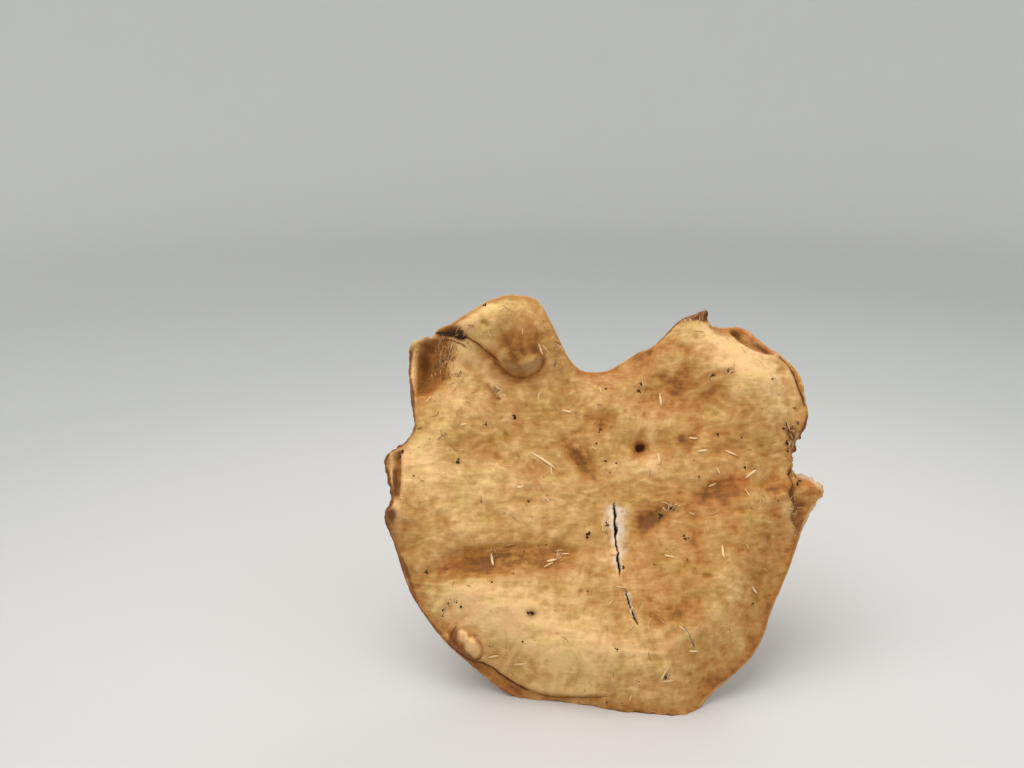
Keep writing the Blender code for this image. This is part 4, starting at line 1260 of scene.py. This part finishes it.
def neck_spines(rng):
    """Short spines that run down onto the top of the stem, as in cap_spines."""
    turn = rng.uniform(0.0, FULL_TURN, NECK_SPINES)
    down = rng.random(NECK_SPINES) ** 1.7 * (NECK_SPINES_DOWN + NECK_SPINES_WAVE * np.sin(3.0 * turn + 1.0))
    out = np.column_stack([np.cos(turn), np.sin(turn), np.zeros(NECK_SPINES)])
    centre = np.column_stack([np.full(NECK_SPINES, STEM_U), np.full(NECK_SPINES, STEM_V), NECK_LEVEL - down])
    roots = centre + (stem_radius(turn, down / STEM_LENGTH) - 0.25)[:, None] * out
    directions = unit(0.55 * out + np.array([0.0, 0.0, -1.0]) + rng.normal(0.0, 0.1, (NECK_SPINES, 3)))
    lengths = rng.uniform(*NECK_SPINE_LENGTHS, NECK_SPINES) * (1.0 - 0.1 * down)
    radii = SPINE_RADIUS * rng.uniform(*NECK_SPINE_RADII, NECK_SPINES)
    return roots, directions, -0.25 * out, lengths, radii, rng.random(NECK_SPINES), np.zeros(NECK_SPINES)


def add_spines(material):
    """The spines of the underside and neck, joined in two pieces, left and right."""
    rng = np.random.default_rng(SPINE_SEED)
    both = [np.concatenate(pair) for pair in zip(cap_spines(rng), neck_spines(rng))]
    on_left = both[0][:, 0] < STEM_U
    for name, picked in (("spines_left", on_left), ("spines_right", ~on_left)):
        *shape, shades, edges = [part[picked] for part in both]
        points, faces, way = tapered_spines(*shape)
        each = len(points) // len(shades)
        values = {"tip": way, "shade": np.repeat(shades, each), "edge": np.repeat(edges, each)}
        add_piece(name, points, faces, material, values, "cap")


# Stem, with layers of its relief: height, size and stretch along the stem
STEM_SIDES = 176
STEM_RINGS = 110
CUT_RINGS = 26
STEM_SUNK = 0.8
STEM_TOP_DROP = 0.3
STEM_FLARE = 1.1
STEM_PLAIN_RADIUS = 12.0
STEM_RELIEF = [(0.75, 9.0, 1.0), (0.28, 2.8, 2.5), (0.14, 0.9, 7.0)]
STEM_DENT_DEPTH = 0.5
STEM_DENT_SIZE = 5.5
# Layers of the cut end's relief: height and size, and then its raised edge
CUT_RELIEF = [(0.35, 3.2), (0.22, 1.1)]
CUT_EDGE_LIFT = 0.3
CUT_EDGE_WIDTH = 0.2
CUT_ROUNDING = 0.9
CUT_ROUND_FROM = 0.965
SOILED_FROM = 0.55
FOOT_FROM = 0.80
# Insect tunnels in the cut end: share of the way out, angle, radius in mm
TUNNELS = [(0.42, 0.9, 1.1), (0.62, 2.9, 0.8), (0.30, 4.4, 0.7), (0.71, 5.3, 0.6)]
TUNNELS_REACH = 13.0
TUNNEL_DEPTH = 1.6


def stem_table(share):
    """Radius and bend of the stem at each share of its length, without kinks."""
    table = np.array(STEM_PROFILE)
    offsets = (-0.06, -0.03, 0.0, 0.03, 0.06)
    return [np.mean([np.interp(share + shift, table[:, 0], table[:, i]) for shift in offsets], axis=0)
            for i in (1, 2, 3)]


def stem_radius(turn, share):
    """Radius of the stem with its lobes, flared a little where it meets the cap."""
    ripple = sum(size * np.cos(lobe * turn + shift) for lobe, size, shift in STEM_LOBES)
    flare = STEM_FLARE * np.exp(-share / 0.035)
    return stem_table(share)[0] * (1.0 + ripple * smooth_step(share * 4.0)) + flare


def stem_place(turn, share, radius):
    """Places u and v at a radius from the bent stem's middle."""
    _, bend_u, bend_v = stem_table(share)
    return STEM_U + bend_u + radius * np.cos(turn), STEM_V + bend_v + radius * np.sin(turn)


def solid_noise(points, size, stretch=1.0):
    """Noise through space at points in mm, stretched along w."""
    scaled = points / np.array([size, size, size * stretch])
    return np.array([noise.noise(Vector(point)) for point in scaled])


def stem_surface():
    """Points and faces of the stem, and at each point the share of the length, cut end and tunnels."""
    turn = np.linspace(0.0, FULL_TURN, STEM_SIDES, endpoint=False)
    turns, shares = (part.ravel() for part in np.meshgrid(turn, np.linspace(0.0, 1.0, STEM_RINGS)))
    down = STEM_LENGTH * shares
    plain = np.column_stack([STEM_PLAIN_RADIUS * np.cos(turns), STEM_PLAIN_RADIUS * np.sin(turns), -down])
    relief = sum(height * solid_noise(plain, size, stretch) for height, size, stretch in STEM_RELIEF) - 0.2
    relief -= STEM_DENT_DEPTH * smooth_step((solid_noise(plain + 50.0, STEM_DENT_SIZE) - 0.28) / 0.2)
    radius = stem_radius(turns, shares) + relief * from_low(0.3, smooth_step(shares * 8.0))
    radius -= CUT_ROUNDING * smooth_step((shares - CUT_ROUND_FROM) / (1.0 - CUT_ROUND_FROM)) ** 2
    u, v = stem_place(turns, shares, radius)
    w = NECK_LEVEL + STEM_SUNK * (1.0 - smooth_step(shares * 12.0)) - STEM_TOP_DROP - down
    w += CUT_SLANT * (v - STEM_V) * shares ** 4
    side = np.column_stack([u, v, w])
    rim = side[-STEM_SIDES:]
    middle = rim.mean(axis=0)
    inward = np.arange(1, CUT_RINGS) / CUT_RINGS
    cut = (rim + inward[:, None, None] * (middle - rim)).reshape(-1, 3)
    across = np.repeat(1.0 - inward, STEM_SIDES)
    lift = sum(height * solid_noise(cut, size) for height, size in CUT_RELIEF)
    lift += CUT_EDGE_LIFT * smooth_step((across - 1.0 + CUT_EDGE_WIDTH) / CUT_EDGE_WIDTH)
    for out, angle, size in TUNNELS:
        hole = middle[:2] + out * TUNNELS_REACH * np.array([math.cos(angle), math.sin(angle)])
        lift += TUNNEL_DEPTH * np.exp(-(np.hypot(*(cut[:, :2] - hole).T) / size) ** 4)
    cut[:, 2] += np.maximum(lift, -0.1)
    top = (STEM_U, STEM_V, NECK_LEVEL + STEM_SUNK - STEM_TOP_DROP)
    points = np.vstack([side, cut, top, middle + np.array([0.0, 0.0, 0.1])])
    index = np.arange(len(side) + len(cut)).reshape(-1, STEM_SIDES)
    faces = joined(index[:-1], index[1:])
    faces += fan(index[0], len(points) - 2) + fan(index[-1][::-1], len(points) - 1)
    length_share = np.concatenate([shares, np.ones(len(cut)), [0.0, 1.0]])
    cut_share = np.concatenate([np.zeros(len(side)), np.ones(len(cut)), [0.0, 1.0]])
    holes = np.concatenate([np.zeros(len(side)), smooth_step((lift - 0.75) / 0.5), [0.0, 0.0]])
    return points, faces, length_share, cut_share, holes


def add_stem(material):
    """The stem, in place of the plain solid."""
    points, faces, length_share, cut_share, holes = stem_surface()
    soiled = smooth_step((length_share - SOILED_FROM) / (1.0 - SOILED_FROM)) * (1.0 - 0.75 * cut_share)
    foot = smooth_step((length_share - FOOT_FROM) / (1.0 - FOOT_FROM)) * (1.0 - cut_share)
    values = {"cut": cut_share, "soiled": soiled, "foot": foot, "dark": holes, "place": points}
    add_piece("stem_surface", points, faces, material, values, "stem")


# Straw on the skin: middle u and v in mm, turn in degrees, length in mm
STRAW = [
    (-16.6, 10.6, -32, 9), (18.7, 29.4, -88, 4.2), (-17.3, 42.7, -69, 3.4), (30.5, 13.4, 6, 3),
    (38.8, 12.8, -26, 3.8), (44.5, 6.8, 36, 4.6), (34.7, 7.6, -66, 2.2), (17.4, 11.2, -87, 3.6),
    (-31.5, -18.3, -80, 3.8), (-14.4, -18.6, 12, 2.9), (-15.3, -19.9, 29, 3), (-10.4, -16.6, 0, 2.4),
    (34.6, -16.6, -88, 3.8), (27.9, 17.4, -7, 2.6), (52.5, 35.6, -28, 2.2), (-31, -45.1, 5, 3.2),
    (-23.4, -47.4, 0, 3.7), (16.5, -50.6, 64, 3.2), (17.7, -52.2, 5, 3.1), (25.1, -44.2, 0, 2.6),
    (44.3, -26.7, -41, 2.4), (-9.5, 25.4, -19, 3), (-30, 31.9, -38, 2), (-23.4, 2.5, 19, 2.2),
]
STRAW_AT_RANDOM = 40
FIBRES_AT_RANDOM = 60
# Tangles of fine strands: middle u and v
TANGLES = [
    (12.1, 33.1), (-32, -16.6), (-12.4, -17.3), (15.6, 49), (-27.8, 54), (48.1, -0.5), (45.3, 7.9),
    (-7.9, 25.4), (-41.8, 34.5), (-25.5, -46.8), (16.8, -51), (38.5, 37), (-29.8, 30.2), (57, -3),
    (-45.5, -32),
]
TANGLE_STRANDS = 8
TANGLE_SPREAD = 1.1
# Brushes of short strands: middle u and v, spread in each, how many, turn and its spread in degrees
BRUSHES = [
    (-46.4, 41.4, 2, 3.2, 90, 78, 24), (-49.4, 46.2, 1.7, 0.9, 26, 70, 35),
    (-41.4, 35.4, 1, 0.9, 8, 20, 50), (32, 55.4, 2.6, 0.8, 26, 70, 40),
    (57.6, 15.5, 1.2, 3.4, 40, 110, 50), (20.6, -3.4, 1.5, 1.2, 16, 30, 50), (58, -4, 1, 3, 16, 60, 60),
    (-41, 47.6, 3, 0.6, 14, -20, 25), (-12.2, 44.2, 0.9, 2.4, 18, 70, 50), (-46, 20, 4, 4, 20, 20, 60),
]
BRUSH_CLEAR = 0.9
# For placed straw, loose straw, fibres, tangles and brushes in turn: ranges of the width and the length
# in mm, spread of the curl, ranges of the lift of one end in mm and of the shade. The table of placed straw
# has its lengths
BIT_WIDTHS = [(0.48, 0.80), (0.30, 0.60), (0.12, 0.22), (0.10, 0.30), (0.18, 0.38)]
BIT_LENGTHS = [(1.2, 3.2), (1.6, 4.0), (1.0, 2.8), (0.8, 2.4)]
BIT_CURLS = [0.20, 0.30, 1.20, 0.60, 0.40]
BIT_LIFTS = [(0.1, 0.6), (0.0, 0.6), (0.1, 0.8), (0.1, 0.9), (0.1, 0.7)]
BIT_SHADES = [(0.80, 1.0), (0.40, 1.0), (0.10, 0.9), (0.15, 1.0), (0.0, 0.90)]
BITS_SEED = 5
STRAND_SIDES = 6
STRAND_STEPS = 8
STRAND_ENDS = 0.35
# Half width in mm of the square over which random places are drawn
SKIN_REACH = 72.0

# Crumbs of soil on the skin: middle u and v, size in mm
SOIL_SPOTS = [
    (-41.7, 9.4, 1.3), (-24.9, 23.4, 1), (-33.5, 20.6, 0.8), (0.4, 20, 0.7), (12.3, 32, 1.1),
    (13, 34.2, 0.9), (-3.8, -11.1, 1.4), (20.8, -3.7, 1.5), (-20.1, -33.9, 1.4), (-45.4, -32.2, 1),
    (-50.5, -21.7, 0.9), (-44, -30.5, 0.5), (-41.7, -30.5, 0.5), (-57.7, 12.7, 1.2), (38.4, 37, 0.8),
    (17.1, -51.3, 0.9), (-16.3, 50.7, 0.5), (-34, 53.9, 1), (-49.8, 16, 0.6), (34.1, 36.1, 0.8),
    (35.1, 18.4, 0.7), (42.1, 17.2, 0.7), (51.8, 34.8, 0.6), (24.3, -12.8, 0.7), (24.3, -18.9, 0.5),
    (2.1, -8.4, 1.1), (1.5, -10.5, 0.6), (17.6, -5.5, 1), (15, -20, 0.5), (3.5, -43.9, 0.8),
    (43.8, -30.5, 0.6), (24, -11.6, 0.6), (6.1, -20.9, 0.9),
]
# Smaller crumbs beside each of them: how many, their spread as a share of its size and in mm, and the
# range of their sizes as shares of its own
CRUMBS_BESIDE = 4
BESIDE_SPREAD = 0.35
BESIDE_SPREAD_MM = 0.2
BESIDE_SIZES = (0.25, 0.7)
PLACED_CRUMB_SCALE = 0.75
CRUMBS_AT_RANDOM = 85
CRUMBS_AT_TEAR = 60
TEAR_CRUMB_SIZES = (0.5, 1.5)
TEAR_MIDDLE = (59.0, 14.5)
TEAR_SPREAD = (1.6, 3.4)
CRUMBS_AT_FOOT = 70
FLAKE_THINNESS = 0.25
CRUMB_UNEVEN = 0.24
CRUMB_STRETCH = (0.5, 1.3)


def strands(paths, widths, thicks, ups):
    """Points and faces of many thin closed strips along paths, each lying flat against its up vector."""
    count, steps, _ = paths.shape
    tangent = unit(np.gradient(paths, axis=1))
    side = unit(np.cross(tangent, ups))
    rise = np.cross(side, tangent)
    turn = np.linspace(0.0, FULL_TURN, STRAND_SIDES, endpoint=False)
    way = np.linspace(0.0, 1.0, steps)
    narrow = from_low(STRAND_ENDS, smooth_step(3.5 * np.minimum(way, 1.0 - way)))
    wide = (widths[:, None] * narrow)[:, :, None, None] * np.cos(turn)[:, None] * side[:, :, None, :]
    thick = (thicks[:, None] * narrow)[:, :, None, None] * np.sin(turn)[:, None] * rise[:, :, None, :]
    points = (paths[:, :, None, :] + 0.5 * (wide + thick)).reshape(-1, 3)
    index = np.arange(steps * STRAND_SIDES).reshape(-1, STRAND_SIDES)
    one = [index[0].tolist(), index[-1][::-1].tolist()] + joined(index[:-1], index[1:])
    return points, copies(one, index.size, count)


def paths_on_skin(middles, turns, lengths, curls, lifts):
    """Curved paths that lie on the upper skin, each lifted towards one end, with the skin's normals."""
    steps = np.linspace(-0.5, 0.5, STRAND_STEPS)
    heading = turns[:, None] + curls[:, None] * steps[None, :]
    ahead = lengths[:, None, None] / (STRAND_STEPS - 1) * np.stack([np.cos(heading), np.sin(heading)], axis=2)
    flat = np.cumsum(ahead, axis=1)
    flat = flat - flat.mean(axis=1, keepdims=True) + middles[:, None, :]
    every = flat.reshape(-1, 2)
    paths = skin_place(every).reshape(len(middles), STRAND_STEPS, 3)
    level = paths[:, :, 2]
    level[:, 1:-1] = np.maximum(level[:, 1:-1], 0.5 * (level[:, 2:] + level[:, :-2]))
    slope = slope_of(lambda points: skin_place(points)[:, 2], every, 0.8)
    ups = unit(np.column_stack([-slope, np.ones(len(every))])).reshape(len(middles), STRAND_STEPS, 3)
    level += lifts[:, None] * (steps[None, :] + 0.5) ** 2
    return paths, ups


def spots_on_skin(rng, count, clear):
    """Random places on the upper skin, at least the given distance from the margin."""
    flat = rng.uniform(-SKIN_REACH, SKIN_REACH, (count * 4, 2))
    flat = flat[inside_margin(flat)]
    return flat[margin_effect(flat)[0] > clear][:count]


def add_straw(material):
    """Bits of straw and thin root fibres that lie on the skin."""
    rng = np.random.default_rng(BITS_SEED)
    placed = np.array(STRAW)
    loose = spots_on_skin(rng, STRAW_AT_RANDOM, 3.0)
    fibres = spots_on_skin(rng, FIBRES_AT_RANDOM, 2.0)
    tangled = np.repeat(np.array(TANGLES), TANGLE_STRANDS, axis=0)
    tangled = tangled + rng.normal(0.0, TANGLE_SPREAD, tangled.shape)
    tangled = tangled[inside_margin(tangled)]
    brushes = np.repeat(np.array(BRUSHES), [row[4] for row in BRUSHES], axis=0)
    brushed = brushes[:, :2] + rng.normal(0.0, 1.0, (len(brushes), 2)) * brushes[:, 2:4]
    kept = inside_margin(brushed) & (margin_effect(brushed)[0] > BRUSH_CLEAR)
    brushed, brush_turns = brushed[kept], np.radians(rng.normal(brushes[kept, 5], brushes[kept, 6]))
    groups = (placed[:, :2], loose, fibres, tangled, brushed)
    counts = [len(group) for group in groups]

    def drawn(ranges, counts):
        return [rng.uniform(*limits, count) for limits, count in zip(ranges, counts)]

    any_turns = rng.uniform(0.0, math.pi, sum(counts[1:-1]))
    turns = np.concatenate([np.radians(placed[:, 2]), any_turns, brush_turns])
    widths = np.concatenate(drawn(BIT_WIDTHS, counts))
    lengths = np.concatenate([placed[:, 3]] + drawn(BIT_LENGTHS, counts[1:]))
    curls = np.concatenate([rng.normal(0.0, spread, count) for spread, count in zip(BIT_CURLS, counts)])
    lifts = np.concatenate(drawn(BIT_LIFTS, counts))
    shades = np.concatenate(drawn(BIT_SHADES, counts))
    thicks = widths * rng.uniform(0.4, 0.7, len(widths))
    paths, ups = paths_on_skin(np.vstack(groups), turns, lengths, curls, lifts)
    points, faces = strands(paths + 0.45 * thicks[:, None, None] * ups, widths, thicks, ups)
    values = {"shade": np.repeat(shades, STRAND_STEPS * STRAND_SIDES)}
    add_piece("straw_bits", points, faces, material, values)


def crumb_shape():
    """Corners and faces of a ball of triangles with radius one."""
    ball = bmesh.new()
    bmesh.ops.create_icosphere(ball, subdivisions=2, radius=1.0)
    corners = np.array([vertex.co[:] for vertex in ball.verts])
    faces = [[vertex.index for vertex in face.verts] for face in ball.faces]
    ball.free()
    return corners, faces


def crumbs_on_skin(rng):
    """Places, sizes and shades of the crumbs of soil on the skin and of dried flesh along the torn margin."""
    table = np.array(SOIL_SPOTS)
    beside = np.repeat(table, CRUMBS_BESIDE, axis=0)
    near = rng.normal(0.0, BESIDE_SPREAD, (len(beside), 2)) * beside[:, 2:]
    beside[:, :2] += near + rng.normal(0.0, BESIDE_SPREAD_MM, (len(beside), 2))
    beside[:, 2] *= rng.uniform(*BESIDE_SIZES, len(beside))
    table[:, 2] *= PLACED_CRUMB_SCALE
    loose = spots_on_skin(rng, CRUMBS_AT_RANDOM, 1.5)
    loose = np.column_stack([loose, 0.25 + 0.5 * rng.random(len(loose)) ** 3])
    tear = rng.normal(TEAR_MIDDLE, TEAR_SPREAD, (CRUMBS_AT_TEAR, 2))
    tear = np.column_stack([tear, rng.uniform(*TEAR_CRUMB_SIZES, CRUMBS_AT_TEAR)])
    tear = tear[inside_margin(tear[:, :2])]
    tear = tear[margin_effect(tear[:, :2])[0] > 0.5 * tear[:, 2]]
    on_skin = np.vstack([table, beside, loose, tear])
    shades = np.concatenate([rng.uniform(0.0, 0.25, len(table) + len(beside)),
                             rng.random(len(loose)) ** 1.5 * 0.8, rng.uniform(0.1, 0.95, len(tear))])
    places = skin_place(on_skin[:, :2])
    places[:, 2] += 0.05 * on_skin[:, 2]
    return places, on_skin[:, 2], shades, len(tear)


def add_crumbs(material):
    """Crumbs on the skin and along the torn margin, and of soil at the stem's foot."""
    rng = np.random.default_rng(BITS_SEED + 1)
    centres, sizes, shades, tear_count = crumbs_on_skin(rng)
    turn = rng.uniform(0.0, FULL_TURN, CRUMBS_AT_FOOT)
    share = 1.0 - 0.35 * rng.random(CRUMBS_AT_FOOT) ** 1.5
    foot_u, foot_v = stem_place(turn, share, stem_radius(turn, share) - 0.3)
    flakes = np.arange(len(centres) - tear_count, len(centres))
    centres = np.vstack([centres, np.column_stack([foot_u, foot_v, NECK_LEVEL - STEM_LENGTH * share])])
    sizes = np.concatenate([sizes, 0.4 + 1.2 * rng.random(CRUMBS_AT_FOOT) ** 2])
    shades = np.concatenate([shades, rng.uniform(0.0, 0.5, CRUMBS_AT_FOOT)])
    corners, faces = crumb_shape()
    uneven = 1.0 + rng.normal(0.0, CRUMB_UNEVEN, (len(centres), len(corners), 1))
    stretch = rng.uniform(*CRUMB_STRETCH, (len(centres), 1, 3))
    stretch[flakes, 0, rng.integers(0, 3, tear_count)] = FLAKE_THINNESS
    points = centres[:, None, :] + 0.5 * sizes[:, None, None] * stretch * uneven * corners[None]
    every = copies(faces, len(corners), len(centres))
    values = {"shade": np.repeat(shades, len(corners))}
    add_piece("soil_crumbs", points.reshape(-1, 3), every, material, values)


# Stage, light and camera
FLOOR_RINGS = (0.25, 0.5)
FLOOR_RADIUS = 0.75
WALL_RADIUS = 1.15
WALL_HEIGHT = 1.1
STAGE_SIDES = 128
STAGE_BEND_STEPS = 16
# Soft square lamps: name, place, size, power, colour, angle in degrees that the light fans out over
LIGHTS = [
    ("key", (-0.30, -0.22, 0.92), 0.95, 7.9, (1.0, 0.985, 0.96), 180.0),
    ("fill", (0.65, -0.50, 0.45), 0.90, 2.0, (0.97, 0.985, 1.0), 180.0),
    ("top", (0.05, 0.20, 0.95), 0.90, 1.7, (1.0, 1.0, 1.0), 180.0),
    ("back", (0.34, 0.58, 0.50), 0.34, 0.16, (1.0, 0.99, 0.97), 75.0),
]
LIGHTS_AIM = (0.0, 0.0, 0.05)
SURROUND_STRENGTH = 0.31

# The camera, in millimetres from the cap's centre, and the focal length in pixels of a 1024 pixel wide image
CAMERA_FROM_CAP = (-25.78, -315.43)
CAMERA_HEIGHT = 183.85
CAMERA_DOWN = math.radians(16.745)
FOCAL_PIXELS = 1160.0
IMAGE_WIDTH = 1024.0
SENSOR_WIDTH = 36.0


def add_stage():
    """A round pale floor that sweeps up into a backdrop all the way round."""
    bend = WALL_RADIUS - FLOOR_RADIUS
    angles = [0.5 * math.pi * k / STAGE_BEND_STEPS for k in range(STAGE_BEND_STEPS + 1)]
    outline = [(radius, 0.0) for radius in FLOOR_RINGS]
    outline += [(FLOOR_RADIUS + bend * math.sin(a), bend * (1.0 - math.cos(a))) for a in angles]
    outline += [(WALL_RADIUS, WALL_HEIGHT)]
    turns = [FULL_TURN * k / STAGE_SIDES for k in range(STAGE_SIDES)]
    points = [(r * math.cos(t), r * math.sin(t), z) for r, z in outline for t in turns] + [(0.0, 0.0, 0.0)]
    index = np.arange(len(outline) * STAGE_SIDES).reshape(-1, STAGE_SIDES)
    faces = joined(index[:-1], index[1:]) + fan(index[0], index.size)
    add_mesh("stage", points, faces, stage_material())


def add_lights():
    """A large key from the upper left front, a weak fill, lights on top and behind, and a pale surround."""
    for name, place, size, power, colour, spread_angle in LIGHTS:
        lamp = bpy.data.lights.new(name, "AREA")
        lamp.size = size
        lamp.spread = math.radians(spread_angle)
        lamp.energy = power
        lamp.color = colour
        light = add_object(name, lamp)
        light.location = place
        light.rotation_euler = (Vector(LIGHTS_AIM) - Vector(place)).to_track_quat("-Z", "Y").to_euler()
    world = bpy.data.worlds.new("surround")
    world.use_nodes = True
    world.node_tree.nodes["Background"].inputs["Color"].default_value = SURROUND
    world.node_tree.nodes["Background"].inputs["Strength"].default_value = SURROUND_STRENGTH
    bpy.context.scene.world = world


def add_camera():
    """The camera at the photograph's viewing angle."""
    lens = bpy.data.cameras.new("camera")
    lens.sensor_width = SENSOR_WIDTH
    lens.lens = FOCAL_PIXELS / IMAGE_WIDTH * SENSOR_WIDTH
    lens.clip_start = 0.01
    camera = add_object("camera", lens)
    place = (CAP_CENTRE[0] + CAMERA_FROM_CAP[0], CAP_CENTRE[1] + CAMERA_FROM_CAP[1], CAMERA_HEIGHT)
    camera.location = [MM * value for value in place]
    camera.rotation_euler = (0.5 * math.pi - CAMERA_DOWN, 0.0, 0.0)
    bpy.context.scene.camera = camera


bpy.context.scene.view_settings.view_transform = "Standard"
add_camera()
add_lights()
add_stage()
add_cap(cap_material())
add_spines(spine_material())
add_stem(stem_material())
add_straw(straw_material())
add_crumbs(soil_material())
